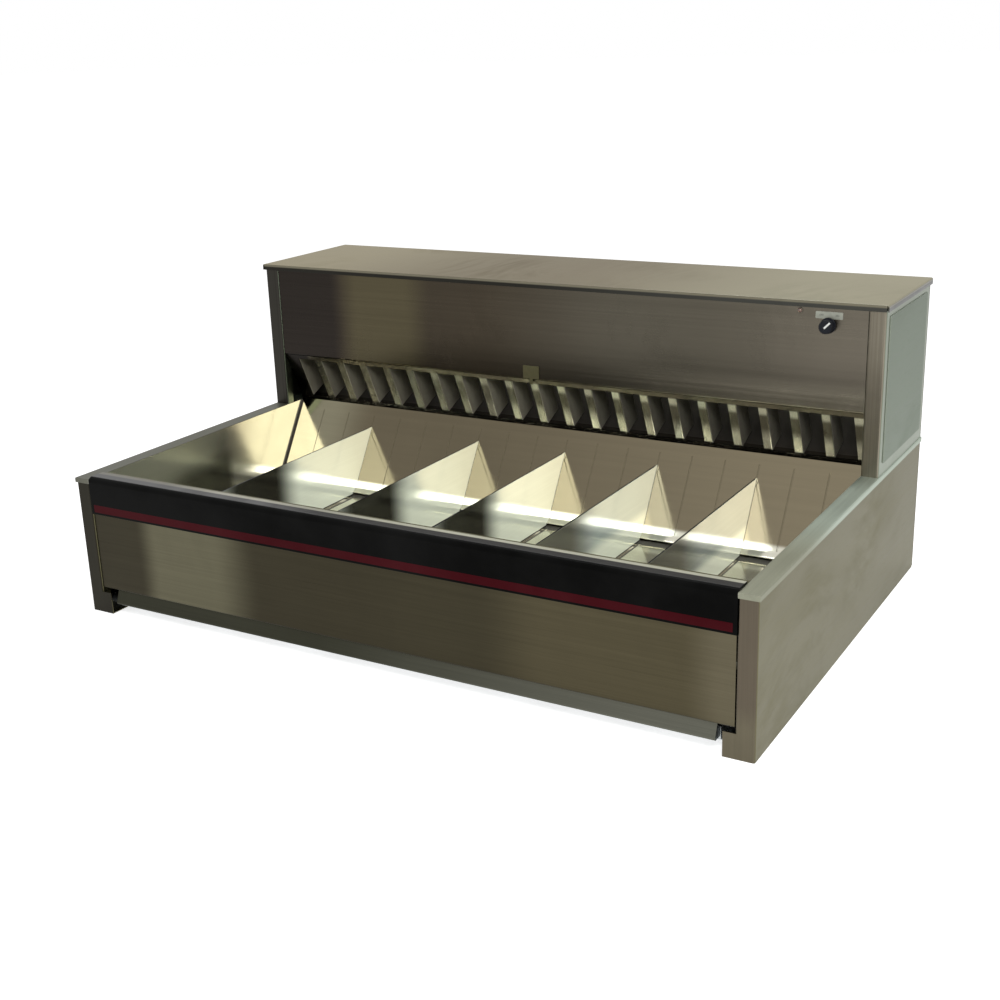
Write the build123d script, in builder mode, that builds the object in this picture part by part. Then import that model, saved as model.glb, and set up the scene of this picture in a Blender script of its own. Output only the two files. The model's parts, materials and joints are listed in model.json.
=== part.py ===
"""Countertop chip warmer: an open divided hopper in front of a heated-air housing.

Millimetres. X runs across the cabinet, +Y to the rear, +Z up. The origin is on the
ground at the middle of the cabinet's footprint.
"""

import os
from math import atan2, cos, degrees, hypot, radians, sin, tan

from build123d import *

os.makedirs("parts", exist_ok=True)

# ---------------------------------------------------------------- driving sizes
# cabinet
width = 1016.0  # over the end panels
depth = 675.0  # front lips to the rear panels
height = 436.0  # ground to the top of the lid
base_height = 203.0  # ground to the top of the rim
sheet = 1.2  # stainless sheet
bend = 1.5  # inside radius of a bend
fit = 0.15  # gap between sheets that are fastened together
flange = 12.0  # turned-back edge of a panel

# base
stile_width = 24.0  # front edge of an end panel, and the rim above it
jamb_depth = 15.0
foot_width = 39.0
foot_height = 32.0
rear_return = 18.0
lip_height = 7.0  # turned-down edge of the rim
rim_bend = 0.5  # inside radius of that edge
pan_height = 13.2
panel_recess = 2.0  # front panels behind the stiles
panel_gap = 1.5  # shadow line beside a front panel
front_panel_bottom = 38.0

# trim band over the front edge
band_drop = 51.0  # below the rim
band_rise = 3.0  # above the rim
band_depth = 28.0  # behind the stiles' faces
band_radius = 8.0
stripe_height = 11.0
stripe_margin = 3.0  # black edge under the stripe
stripe_end = 5.0
stripe_depth = 0.4

# crumb tray and its runners
tray_inset = 48.0  # each end of the tray inside the cabinet's width
tray_depth = 430.0
tray_bottom = 16.0
tray_height = 20.5
tray_wall = 16.0
tray_lean = 8.0  # how far the front lip leans back
tray_sheet = 1.0
runner_width = 24.0
runner_height = 3.0
runner_guide = 12.0
slide_gap = 0.4

# hopper
hopper_front = 38.0  # top of the front wall behind the stiles' faces
front_angle = 20.0  # front wall from the vertical
slope_rise = 3.0  # top of the rear slope above the rim
slope_setback = 41.0  # and behind the housing front
slope_angle = 58.0  # rear slope from the horizontal
floor_height = 75.0
return_gap = 5.0  # air slot between a lip and the floor
lip_radius = 20.0
lip_land = 2.0
lip_angle = 30.0
floor_end_gap = 4.0
floor_overlap = 13.0  # floor under the lips
floor_edge = 10.0
end_wall_drop = 15.0  # end walls below the floor
rail_width = 24.0
rail_height = 18.0
rail_inset = 45.0

# dividers
divider_sheet = 1.2
divider_drop = 28.0  # dividers below the rim
divider_foot = 2.0  # dividers above the floor
divider_clearance = 0.3
groove_gap = 0.4
groove_depth = 0.6
groove_engagement = 0.35
groove_top_margin = 18.0
groove_bays = 19
divider_bays = (3, 7, 10, 13, 16)  # grooves in use, counted from the left wall
hem_height = 8.0
hem_inset = 4.0

# housing
housing_depth = 220.8  # its front to the rear panels
housing_rise = 85.0  # lower edge of its front panel above the rim
lid_overhang = 3.0
lid_lip = 9.0
cover_margin = 16.0
cover_sheet = 1.2
cover_radius = 3.0
duct_depth = 77.0  # housing front to the partition

# louvre
louvre_setback = 3.5  # top edge behind the housing front
louvre_sheet = 1.0
louvre_return = 10.0
louvre_top_strip = 7.0
louvre_bottom_strip = 6.0
vane_pitch = 44.8
vane_land = 12.7
vane_first = 25.5  # first vane from the louvre's left end
vane_depth = 37.0
vane_bend = 1.0
catch_width = 27.0
catch_height = 20.0
catch_x = -18.5
catch_tongue = 5.0
catch_reach = 7.0

# controls
knob_inset = 52.5  # from the stile
knob_drop = 30.8  # below the lid
knob_radius = 10.5
knob_length = 15.0
knob_gap = 3.0
knob_taper = 1.5
skirt_length = 3.0
flute_count = 18
flute_radius = 1.1
pointer_width = 1.8
pointer_length = 8.0
pointer_depth = 0.6
pointer_angle = 45.0  # from the horizontal at rest
shaft_radius = 3.0
shaft_gap = 0.05
bushing_radius = 4.9
bushing_length = 3.0
nut_width = 14.0
nut_height = 2.5
switch_size = 32.0
switch_depth = 24.0
plate_width = 37.0
plate_height = 9.6
plate_depth = 0.5
plate_above_knob = 13.0
lamp_inset = 92.5
lamp_drop = 13.6
lamp_radius = 3.0
lamp_bezel = 1.2
lamp_depth = 16.0
lens_height = 2.4
shield_inset = 112.0
shield_drop = 89.8

# blower
blower_rise = 127.0  # shaft above the rim
blower_setback = 139.0  # shaft behind the housing front
blower_x = 220.0  # middle of each fan from the middle of the cabinet
scroll_radius = 55.0
scroll_width = 70.0
scroll_sheet = 1.2
scroll_mouth = 47.0
inlet_radius = 33.0
wheel_radius = 48.0
wheel_width = 54.0
wheel_disc = 1.5
blade_count = 28
blade_length = 10.0
blade_sheet = 1.0
blade_turn = 30.0
hub_radius = 9.0
hub_length = 20.0
rotor_radius = 4.0
rotor_overhang = 4.0
motor_radius = 45.0
motor_length = 100.0
motor_round = 6.0
boss_radius = 14.0
boss_length = 12.0
motor_foot_width = 80.0
motor_foot_depth = 56.0
motor_foot_height = 8.0
bracket_width = 120.0
bracket_sheet = 1.5
bracket_drop = 44.0

# heater
heater_radius = 4.0
heater_pitch = 26.0
heater_rise = 103.0
heater_setback = 55.0  # behind the housing front
heater_left_gap = 44.0  # turned end to the stile
heater_right_gap = 84.0
heater_bracket_inset = 60.0
heater_gap = 0.1
heater_edge = 11.0

# electrics
limit_inset = 234.0
limit_drop = 49.8
limit_radius = 9.0
limit_depth = 9.0
limit_ear = 26.0
bay_inset = 118.0  # from the housing side
bay_rise = 37.0
block_width = 70.0
block_depth = 24.0
block_height = 18.0
block_ways = 5
vent_width = 52.0
vent_height = 4.0
vent_pitch = 12.0
vent_count = 6
vent_inset = 68.0
vent_rise = 127.0

# cord gland and fasteners
gland_inset = 78.0
gland_height = 70.0
gland_bore = 5.0
gland_body = 9.0
gland_flange = 12.0
gland_reach = 9.0
gland_inside = 14.0
screw_radius = 1.9
screw_hole = 2.1
screw_head = 4.0
screw_head_height = 2.2
screw_length = 9.0
screw_inset = 9.0
screw_margin = 20.0  # end screws from the ends of a panel

# ---------------------------------------------------------------- derived places
outer_bend = bend + sheet
half_width = width / 2
skin = half_width - sheet  # inner face of an end panel
inner = half_width - stile_width  # hopper wall and inner edge of a stile
front = -(depth + gland_reach) / 2
rear = front + depth
rear_skin = rear - sheet
stile_y = front + sheet
rim = base_height
rim_under = rim - sheet
lid_under = height - sheet
panel_y = stile_y + panel_recess
band_bottom = rim - band_drop
housing_y = rear - housing_depth
housing_bottom = rim + housing_rise
housing_panel_y = housing_y + panel_recess
partition_y = housing_y + duct_depth
partition_top = lid_under - sheet - 2 * fit
blower_height = rim + blower_rise
heater_height = rim + heater_rise
knob_x = inner - knob_inset
knob_height = lid_under - knob_drop
lamp_x = inner - lamp_inset
lamp_height = lid_under - lamp_drop
limit_x = inner - limit_inset
limit_height = lid_under - limit_drop
shield_x = inner - shield_inset
shield_bottom = lid_under - shield_drop
heater_left = heater_left_gap - inner
heater_right = inner - heater_right_gap
heater_brackets_x = (heater_left + heater_bracket_inset, 0.0, heater_right - heater_bracket_inset)
bay_x = half_width - bay_inset
bay_bottom = rim + bay_rise
vent_x = half_width - vent_inset
vent_z = rim + vent_rise
gland_x = half_width - gland_inset
panel_half = inner - panel_gap
seated_half = inner - fit

front_top_y = stile_y + hopper_front
slope_top = rim + slope_rise
slope_top_y = housing_y + slope_setback
divider_top = rim - divider_drop
end_wall_bottom = floor_height - end_wall_drop
lip_underside = floor_height + return_gap
lip_top = lip_underside + sheet
slope = radians(slope_angle)
lean = radians(front_angle)
lip = radians(lip_angle)
lip_reach = lip_radius * tan((slope - lip) / 2) + lip_land
lip_corner_z = lip_top + lip_reach * sin(lip)
lip_corner_y = slope_top_y - (slope_top - lip_corner_z) / tan(slope)
lip_end_y = lip_corner_y - lip_reach * cos(lip)
front_foot_y = front_top_y + (rim - lip_underside) * tan(lean)
groove_width = divider_sheet + groove_gap
groove_pitch = 2 * inner / groove_bays


def front_wall_y(z: float, clear: float = 0.0) -> float:
    """Y of the front wall's face at a height, moved into the hopper by a clearance."""
    return front_top_y + (rim - z) * tan(lean) + clear / cos(lean)


def rear_slope_y(z: float, clear: float = 0.0) -> float:
    """Y of the rear slope's face at a height, moved into the hopper by a clearance."""
    return slope_top_y - (slope_top - z) / tan(slope) - clear / sin(slope)


def screw_heights(low: float, high: float) -> tuple:
    """Heights of three screws spread over a panel's height."""
    return (low + screw_margin, (low + high) / 2, high - screw_margin)


base_screw_heights = screw_heights(0, rim_under)
cover_screw_heights = screw_heights(rim, lid_under)


def facing_front(y: float) -> Plane:
    """Upright plane at a depth that faces the front, with X across and Z up."""
    return Plane.XZ.offset(-y)


def bent_sheet(plane: Plane, points, side: Side, thickness: float = sheet, radius=outer_bend):
    """Section of a sheet bent along the points, which lie on its outer face."""
    with BuildSketch(plane) as section:
        with BuildLine():
            FilletPolyline(*points, radius=radius)
            offset(amount=thickness, side=side)
        make_face()
    return section.sketch


def mirrored(piece: Part) -> Part:
    """The left-hand copy of a right-hand piece."""
    return piece.mirror(Plane.YZ)


pieces = []


def finish(builder: BuildPart, name: str) -> None:
    """Label a finished piece and put it on the list of pieces to write."""
    builder.part.label = name
    pieces.append(builder.part)


# ---------------------------------------------------------------- base
with BuildPart() as end_panel_right:
    end_path = [
        (half_width - rear_return, rear_skin),
        (half_width, rear_skin),
        (half_width, stile_y),
        (inner, stile_y),
        (inner, stile_y + jamb_depth),
    ]
    extrude(bent_sheet(Plane.XY, end_path, Side.RIGHT), amount=rim_under)
    with BuildSketch(facing_front(stile_y + sheet)):
        with Locations((half_width - foot_width, 0)):
            Rectangle(stile_width, foot_height, align=(Align.MIN, Align.MIN))
    extrude(amount=sheet)
    with BuildSketch():
        with Locations((half_width - foot_width, stile_y + sheet)):
            Rectangle(foot_width - sheet, rear_skin - stile_y - 2 * sheet, align=(Align.MIN, Align.MIN))
    extrude(amount=sheet)
    with BuildSketch(facing_front(rear)):
        for screw_z in base_screw_heights:
            with Locations((half_width - screw_inset, screw_z)):
                Circle(screw_hole)
    extrude(amount=3 * sheet, mode=Mode.SUBTRACT)
finish(end_panel_right, "end_panel_right")

with BuildPart() as end_panel_left:
    add(mirrored(end_panel_right.part))
finish(end_panel_left, "end_panel_left")

with BuildPart() as bottom_pan:
    pan_half = skin - fit
    pan_path = [(-pan_half, sheet), (-pan_half, pan_height), (pan_half, pan_height), (pan_half, sheet)]
    pan_rear = rear_skin - sheet - bend
    pan_front = stile_y + jamb_depth + fit
    extrude(bent_sheet(facing_front(pan_rear), pan_path, Side.RIGHT), amount=pan_rear - pan_front)
finish(bottom_pan, "bottom_pan")

with BuildPart() as back_panel:
    with BuildSketch(facing_front(rear)):
        with Locations((0, sheet + fit)):
            Rectangle(width - 2 * fit, rim_under - sheet - fit, align=(Align.CENTER, Align.MIN))
        for screw_z in base_screw_heights:
            with Locations((half_width - screw_inset, screw_z), (screw_inset - half_width, screw_z)):
                Circle(screw_hole, mode=Mode.SUBTRACT)
        with Locations((gland_x, gland_height)):
            Circle(gland_body + fit, mode=Mode.SUBTRACT)
    extrude(amount=sheet)
finish(back_panel, "back_panel")

with BuildPart() as front_panel:
    front_path = [
        (panel_y + flange, front_panel_bottom),
        (panel_y, front_panel_bottom),
        (panel_y, rim_under),
        (panel_y + flange, rim_under),
    ]
    extrude(bent_sheet(Plane.YZ, front_path, Side.RIGHT), amount=panel_half, both=True)
finish(front_panel, "front_panel")

with BuildPart() as front_band:
    with BuildSketch(Plane.YZ):
        with BuildLine():
            Polyline(
                (front, band_bottom),
                (front, rim + band_rise),
                (stile_y + band_depth, rim + band_rise),
                (stile_y + band_depth, rim),
                (panel_y, rim),
                (panel_y, band_bottom),
                close=True,
            )
        make_face()
    extrude(amount=seated_half, both=True)
    band_edges = front_band.edges().filter_by(Axis.X)
    top_edges = band_edges.group_by(Axis.Z)[-1].sort_by(Axis.Y)
    fillet(top_edges[0], radius=band_radius)
    fillet(front_band.edges().filter_by(Axis.X).group_by(Axis.Z)[-1].sort_by(Axis.Y)[-1], radius=bend)
    with BuildSketch(facing_front(front + stripe_depth)):
        with Locations((0, band_bottom + stripe_margin)):
            Rectangle(2 * (seated_half - stripe_end), stripe_height, align=(Align.CENTER, Align.MIN))
    extrude(amount=stripe_depth, mode=Mode.SUBTRACT)
finish(front_band, "front_band")

with BuildPart() as band_stripe:
    with BuildSketch(facing_front(front + stripe_depth)):
        with Locations((0, band_bottom + stripe_margin)):
            Rectangle(2 * (seated_half - stripe_end), stripe_height, align=(Align.CENTER, Align.MIN))
    extrude(amount=stripe_depth)
finish(band_stripe, "band_stripe")

# ---------------------------------------------------------------- crumb tray
tray_half = half_width - tray_inset
tray_top = tray_bottom + tray_height

with BuildPart() as crumb_tray:
    tray_path = [
        (stile_y + tray_lean, tray_top),
        (stile_y, tray_bottom),
        (stile_y + tray_depth, tray_bottom),
        (stile_y + tray_depth, tray_bottom + tray_wall),
    ]
    extrude(
        bent_sheet(Plane.YZ, tray_path, Side.LEFT, tray_sheet, bend + tray_sheet), amount=tray_half, both=True
    )
    with BuildSketch(Plane.YZ.offset(tray_half)):
        with BuildLine():
            Polyline(
                (stile_y + tray_lean * tray_wall / tray_height + tray_sheet, tray_bottom + tray_wall),
                (stile_y + 2 * tray_sheet, tray_bottom + tray_sheet / 2),
                (stile_y + tray_depth - tray_sheet / 2, tray_bottom + tray_sheet / 2),
                (stile_y + tray_depth - tray_sheet / 2, tray_bottom + tray_wall),
                close=True,
            )
        make_face()
    extrude(amount=-tray_sheet)
    mirror(about=Plane.YZ)
finish(crumb_tray, "crumb_tray")

with BuildPart() as tray_runner_right:
    runner_inner = tray_half + slide_gap
    with BuildSketch(facing_front(stile_y + tray_depth)):
        with Locations((runner_inner + tray_sheet - runner_width, pan_height)):
            Rectangle(runner_width, tray_bottom - fit - pan_height, align=(Align.MIN, Align.MIN))
        with Locations((runner_inner, pan_height)):
            Rectangle(tray_sheet, runner_height + runner_guide, align=(Align.MIN, Align.MIN))
    extrude(amount=tray_depth - jamb_depth - 2 * fit)
finish(tray_runner_right, "tray_runner_right")

with BuildPart() as tray_runner_left:
    add(mirrored(tray_runner_right.part))
finish(tray_runner_left, "tray_runner_left")

# ---------------------------------------------------------------- hopper
with BuildPart() as hopper_end_right:
    rim_outer = half_width + rim_bend + sheet
    rim_path = [(inner, rim), (rim_outer, rim), (rim_outer, rim - lip_height)]
    rim_section = bent_sheet(facing_front(rear), rim_path, Side.RIGHT, radius=rim_bend + sheet)
    extrude(rim_section, amount=depth)
    with BuildSketch(facing_front(front + sheet)):
        with Locations((inner, rim - lip_height)):
            Rectangle(stile_width + rim_bend + sheet / 2, lip_height - sheet / 2, align=(Align.MIN, Align.MIN))
    extrude(amount=sheet)
    with BuildSketch(Plane.YZ.offset(inner)):
        with BuildLine():
            Polyline(
                (front_top_y, rim),
                (front_wall_y(end_wall_bottom), end_wall_bottom),
                (rear_slope_y(end_wall_bottom) + flange, end_wall_bottom),
                (rear_slope_y(rim) + flange, rim),
                close=True,
            )
        make_face()
    extrude(amount=sheet)
    rim_edges = hopper_end_right.edges().filter_by(Axis.Y).group_by(Axis.Z)[-1]
    fillet(rim_edges.sort_by(Axis.X)[0], radius=sheet / 2)
finish(hopper_end_right, "hopper_end_right")

with BuildPart() as hopper_end_left:
    add(mirrored(hopper_end_right.part))
finish(hopper_end_left, "hopper_end_left")

with BuildPart() as hopper_front_wall:
    wall_path = [(panel_y, rim), (front_top_y, rim), (front_foot_y, lip_underside)]
    extrude(bent_sheet(Plane.YZ, wall_path, Side.RIGHT), amount=seated_half, both=True)
    wall_length = (rim - lip_underside) / cos(lean)
    wall_plane = Plane(
        origin=(0, (front_top_y + front_foot_y) / 2, (rim + lip_underside) / 2),
        x_dir=(1, 0, 0),
        z_dir=(0, cos(lean), sin(lean)),
    )
    with BuildSketch(wall_plane.offset(-groove_depth)):
        with GridLocations(groove_pitch, 1, groove_bays - 1, 1):
            Rectangle(groove_width, 2 * wall_length)
    extrude(amount=2 * groove_depth, mode=Mode.SUBTRACT)
finish(hopper_front_wall, "hopper_front_wall")

with BuildPart() as hopper_rear_slope:
    slope_path = [
        (partition_y + sheet, slope_top),
        (slope_top_y, slope_top),
        (lip_corner_y, lip_corner_z),
        (lip_end_y, lip_top),
    ]
    slope_section = bent_sheet(Plane.YZ, slope_path, Side.LEFT, radius=[outer_bend, lip_radius])
    extrude(slope_section, amount=seated_half, both=True)
    slope_length = (slope_top - lip_corner_z) / sin(slope)
    groove_length = slope_length - groove_top_margin - (lip_reach - lip_land)
    slope_plane = Plane(
        origin=(0, slope_top_y, slope_top), x_dir=(1, 0, 0), z_dir=(0, -sin(slope), cos(slope))
    )
    with BuildSketch(slope_plane.offset(-groove_depth)):
        with Locations((0, -groove_top_margin - groove_length / 2)):
            with GridLocations(groove_pitch, 1, groove_bays - 1, 1):
                Rectangle(groove_width, groove_length)
    extrude(amount=2 * groove_depth, mode=Mode.SUBTRACT)
finish(hopper_rear_slope, "hopper_rear_slope")

with BuildPart() as hopper_floor:
    floor_front = front_foot_y - floor_overlap
    floor_rear = lip_end_y + floor_overlap
    floor_path = [
        (floor_front, floor_height - floor_edge),
        (floor_front, floor_height),
        (floor_rear, floor_height),
        (floor_rear, floor_height - floor_edge),
    ]
    extrude(bent_sheet(Plane.YZ, floor_path, Side.RIGHT), amount=inner - floor_end_gap, both=True)
finish(hopper_floor, "hopper_floor")

floor_under = floor_height - sheet
rail_places = {"front": floor_front + rail_inset, "rear": floor_rear - rail_inset - rail_width}
for rail_name, rail_y in rail_places.items():
    with BuildPart() as floor_rail:
        rail_path = [
            (rail_y, floor_under - rail_height),
            (rail_y, floor_under),
            (rail_y + rail_width, floor_under),
        ]
        extrude(bent_sheet(Plane.YZ, rail_path, Side.RIGHT), amount=seated_half, both=True)
    finish(floor_rail, f"floor_rail_{rail_name}")

# ---------------------------------------------------------------- dividers
divider_bottom = floor_height + divider_foot
tab_top = divider_top - groove_depth
tab_bottom = slope_top - (groove_top_margin + groove_length) * sin(slope) + 2 * groove_depth
lift_clear = divider_clearance / cos(lip)
clear_corner_z = lip_corner_z + lift_clear + divider_clearance * tan((slope - lip) / 2) * sin(lip)
clear_corner_y = rear_slope_y(clear_corner_z, divider_clearance)
nose_y = lip_end_y - divider_foot
nose_z = clear_corner_z - (clear_corner_y - nose_y) * tan(lip)

for number, bay in enumerate(divider_bays, start=1):
    divider_x = -inner + bay * groove_pitch
    with BuildPart() as divider:
        with BuildSketch(Plane.YZ.offset(divider_x)):
            with BuildLine():
                FilletPolyline(
                    (front_wall_y(divider_top, -groove_engagement), divider_top),
                    (rear_slope_y(divider_top, divider_clearance), divider_top),
                    (clear_corner_y, clear_corner_z),
                    (nose_y, nose_z),
                    (nose_y, divider_bottom),
                    (front_wall_y(divider_bottom, -groove_engagement), divider_bottom),
                    radius=[0, 0, lip_radius - divider_clearance, 0, 0, 0],
                    close=True,
                )
            make_face()
            with BuildLine():
                Polyline(
                    (rear_slope_y(tab_top, groove_engagement), tab_top),
                    (rear_slope_y(tab_top, -groove_engagement), tab_top),
                    (rear_slope_y(tab_bottom, -groove_engagement), tab_bottom),
                    (rear_slope_y(tab_bottom, groove_engagement), tab_bottom),
                    close=True,
                )
            make_face()
        extrude(amount=divider_sheet / 2, both=True)
        hem_front = front_wall_y(divider_top - hem_height) + hem_inset
        hem_rear = rear_slope_y(divider_top - hem_height) - hem_inset
        with BuildSketch(Plane.XY.offset(divider_top - hem_height)):
            with Locations((divider_x, hem_front)):
                Rectangle(2 * divider_sheet, hem_rear - hem_front, align=(Align.CENTER, Align.MIN))
        extrude(amount=hem_height)
        hem_edges = divider.edges().filter_by(Axis.Y).group_by(Axis.Z)[-1].sort_by(Axis.X)
        fillet([hem_edges[0], hem_edges[-1]], radius=divider_sheet / 2)
    finish(divider, f"divider_{number}")

# ---------------------------------------------------------------- housing
with BuildPart() as upper_side_right:
    side_path = [
        (half_width - rear_return, rear_skin),
        (half_width, rear_skin),
        (half_width, housing_y),
        (inner, housing_y),
        (inner, housing_y + jamb_depth),
    ]
    side_section = bent_sheet(Plane.XY.offset(rim), side_path, Side.RIGHT)
    extrude(side_section, amount=lid_under - rim)
    ledge_length = rear_skin - sheet - fit - housing_y - sheet - jamb_depth
    for ledge_z in (rim, lid_under - sheet):
        with BuildSketch(Plane.XY.offset(ledge_z)):
            with Locations((skin, housing_y + jamb_depth)):
                Rectangle(rear_return, ledge_length, align=(Align.MAX, Align.MIN))
        extrude(amount=sheet)
    with BuildSketch(facing_front(rear)):
        for screw_z in cover_screw_heights:
            with Locations((half_width - screw_inset, screw_z)):
                Circle(screw_hole)
    extrude(amount=3 * sheet, mode=Mode.SUBTRACT)
finish(upper_side_right, "upper_side_right")

with BuildPart() as upper_side_left:
    add(mirrored(upper_side_right.part))
finish(upper_side_left, "upper_side_left")

with BuildPart() as side_cover_right:
    cover_depth = rear - housing_y - 2 * cover_margin
    cover_height = lid_under - rim - 2 * cover_margin
    with BuildSketch(Plane.YZ.offset(half_width)):
        with Locations((housing_y + cover_margin, rim + cover_margin)):
            RectangleRounded(cover_depth, cover_height, cover_radius, align=(Align.MIN, Align.MIN))
    extrude(amount=cover_sheet)
finish(side_cover_right, "side_cover_right")

with BuildPart() as side_cover_left:
    add(mirrored(side_cover_right.part))
finish(side_cover_left, "side_cover_left")

with BuildPart() as housing_front:
    housing_path = [
        (housing_panel_y + flange, housing_bottom),
        (housing_panel_y, housing_bottom),
        (housing_panel_y, lid_under),
        (housing_panel_y + flange, lid_under),
    ]
    extrude(bent_sheet(Plane.YZ, housing_path, Side.RIGHT), amount=seated_half, both=True)
    with BuildSketch(facing_front(housing_panel_y + 2 * sheet)):
        with Locations((knob_x, knob_height)):
            Circle(bushing_radius + fit)
        with Locations((lamp_x, lamp_height)):
            Circle(lamp_radius + fit)
    extrude(amount=3 * sheet, mode=Mode.SUBTRACT)
finish(housing_front, "housing_front")

with BuildPart() as rear_cover:
    with BuildSketch(facing_front(rear)):
        with Locations((0, rim)):
            Rectangle(width - 2 * fit, lid_under - rim, align=(Align.CENTER, Align.MIN))
        for screw_z in cover_screw_heights:
            with Locations((half_width - screw_inset, screw_z), (screw_inset - half_width, screw_z)):
                Circle(screw_hole, mode=Mode.SUBTRACT)
        with Locations((vent_x, vent_z)):
            with GridLocations(1, vent_pitch, 1, vent_count):
                SlotOverall(vent_width, vent_height, mode=Mode.SUBTRACT)
    extrude(amount=sheet)
finish(rear_cover, "rear_cover")

with BuildPart() as lid:
    lid_half = half_width + lid_overhang
    lid_front = housing_y - lid_overhang
    lid_rear = rear + sheet
    lid_path = [
        (-lid_half, height - lid_lip),
        (-lid_half, height),
        (lid_half, height),
        (lid_half, height - lid_lip),
    ]
    extrude(bent_sheet(facing_front(lid_rear), lid_path, Side.RIGHT), amount=lid_rear - lid_front)
    for lip_y in (lid_front + sheet, lid_rear):
        with BuildSketch(facing_front(lip_y)):
            with Locations((0, height - lid_lip)):
                Rectangle(2 * (lid_half - outer_bend), lid_lip, align=(Align.CENTER, Align.MIN))
        extrude(amount=sheet)
    lid_edges = lid.edges().filter_by(Axis.X).group_by(Axis.Z)[-1].sort_by(Axis.Y)
    fillet([lid_edges[0], lid_edges[-1]], radius=sheet / 2)
finish(lid, "lid")

# ---------------------------------------------------------------- louvre
louvre_top_y = housing_y + louvre_setback
louvre_top_z = housing_bottom - fit
louvre_bottom_y = slope_top_y - sheet
louvre_bottom_z = slope_top + louvre_sheet + fit
louvre_length = hypot(louvre_bottom_y - louvre_top_y, louvre_top_z - louvre_bottom_z)
louvre_lean = atan2(louvre_bottom_y - louvre_top_y, louvre_top_z - louvre_bottom_z)
slot_length = louvre_length - louvre_top_strip - louvre_bottom_strip
slot_middle = louvre_bottom_strip + slot_length / 2
vane_count = int((2 * seated_half - vane_first) / vane_pitch)
vane_corner = vane_bend + louvre_sheet
louvre_up = (0, -sin(louvre_lean), cos(louvre_lean))
louvre_foot = Vector(0, louvre_bottom_y, louvre_bottom_z)
louvre_plane = Plane(
    origin=louvre_foot, x_dir=(1, 0, 0), z_dir=(0, -cos(louvre_lean), -sin(louvre_lean))
)
vane_plane = Plane(
    origin=louvre_foot + Vector(louvre_up) * louvre_bottom_strip, x_dir=(1, 0, 0), z_dir=louvre_up
)

with BuildPart() as louvre_panel:
    louvre_path = [
        (louvre_bottom_y + louvre_return, louvre_bottom_z),
        (louvre_bottom_y, louvre_bottom_z),
        (louvre_top_y, louvre_top_z),
        (louvre_top_y + louvre_return, louvre_top_z),
    ]
    louvre_section = bent_sheet(Plane.YZ, louvre_path, Side.RIGHT, louvre_sheet, 0)
    extrude(louvre_section, amount=seated_half, both=True)
    vane_edges = [vane_first - seated_half + vane * vane_pitch for vane in range(vane_count)]
    with BuildSketch(louvre_plane.offset(-2 * louvre_sheet)):
        for vane_x in vane_edges:
            with Locations((vane_x - vane_corner, slot_middle)):
                Rectangle(
                    vane_pitch - vane_land + vane_corner, slot_length, align=(Align.MIN, Align.CENTER)
                )
    extrude(amount=3 * louvre_sheet, mode=Mode.SUBTRACT)
    for vane_x in vane_edges:
        vane_path = [(vane_x - vane_land / 2, 0), (vane_x, 0), (vane_x, vane_depth)]
        vane_section = bent_sheet(vane_plane, vane_path, Side.LEFT, louvre_sheet, vane_corner)
        extrude(vane_section, amount=slot_length)
finish(louvre_panel, "louvre_panel")

with BuildPart() as louvre_catch:
    with BuildSketch(facing_front(housing_panel_y)):
        with Locations((catch_x, housing_bottom + bend)):
            RectangleRounded(catch_width, catch_height, bend, align=(Align.CENTER, Align.MIN))
        with Locations((catch_x, housing_bottom - catch_reach)):
            Rectangle(catch_tongue, 2 * catch_reach, align=(Align.CENTER, Align.MIN))
    extrude(amount=sheet)
finish(louvre_catch, "louvre_catch")

# ---------------------------------------------------------------- duct and bays
partition_half = skin - fit
neck_low = blower_height - scroll_radius + scroll_sheet
neck_high = neck_low + scroll_mouth - 2 * scroll_sheet
inside_width = scroll_width - 2 * scroll_sheet

with BuildPart() as duct_partition:
    with BuildSketch(facing_front(partition_y + sheet)):
        with Locations((0, slope_top)):
            Rectangle(2 * partition_half, partition_top - slope_top, align=(Align.CENTER, Align.MIN))
        with Locations((-blower_x, neck_low), (blower_x, neck_low)):
            Rectangle(inside_width, neck_high - neck_low, align=(Align.CENTER, Align.MIN), mode=Mode.SUBTRACT)
    extrude(amount=sheet)
finish(duct_partition, "duct_partition")

with BuildPart() as control_shield:
    shield_right = inner - flange
    shield_path = [(shield_x, partition_top), (shield_x, shield_bottom), (shield_right, shield_bottom)]
    shield_rear = partition_y - fit
    shield_front = housing_panel_y + sheet + bend
    shield_section = bent_sheet(facing_front(shield_rear), shield_path, Side.LEFT)
    extrude(shield_section, amount=shield_rear - shield_front)
finish(control_shield, "control_shield")

with BuildPart() as electrics_tray:
    bay_rear = rear_skin - fit
    bay_front = partition_y + sheet + fit
    bay_right = half_width - rear_return - fit
    bay_path = [(bay_x, partition_top), (bay_x, bay_bottom), (bay_right, bay_bottom)]
    extrude(bent_sheet(facing_front(bay_rear), bay_path, Side.LEFT), amount=bay_rear - bay_front)
finish(electrics_tray, "electrics_tray")

# ---------------------------------------------------------------- blower
shaft_y = housing_y + blower_setback
neck_y = partition_y + sheet
motor_bore = rotor_radius + shaft_gap


def across(x: float) -> Plane:
    """Plane square to the blower shaft at a place across the cabinet."""
    return Plane(origin=(x, shaft_y, blower_height), x_dir=(0, 1, 0), z_dir=(1, 0, 0))


def scroll_profile(plane: Plane, radius: float, mouth: float):
    """Round scroll with a tangent mouth at its foot that reaches the partition."""
    with BuildSketch(plane) as profile:
        Circle(radius)
        with Locations((0, -radius)):
            Rectangle(shaft_y - neck_y, mouth, align=(Align.MAX, Align.MIN))
    return profile.sketch


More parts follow.
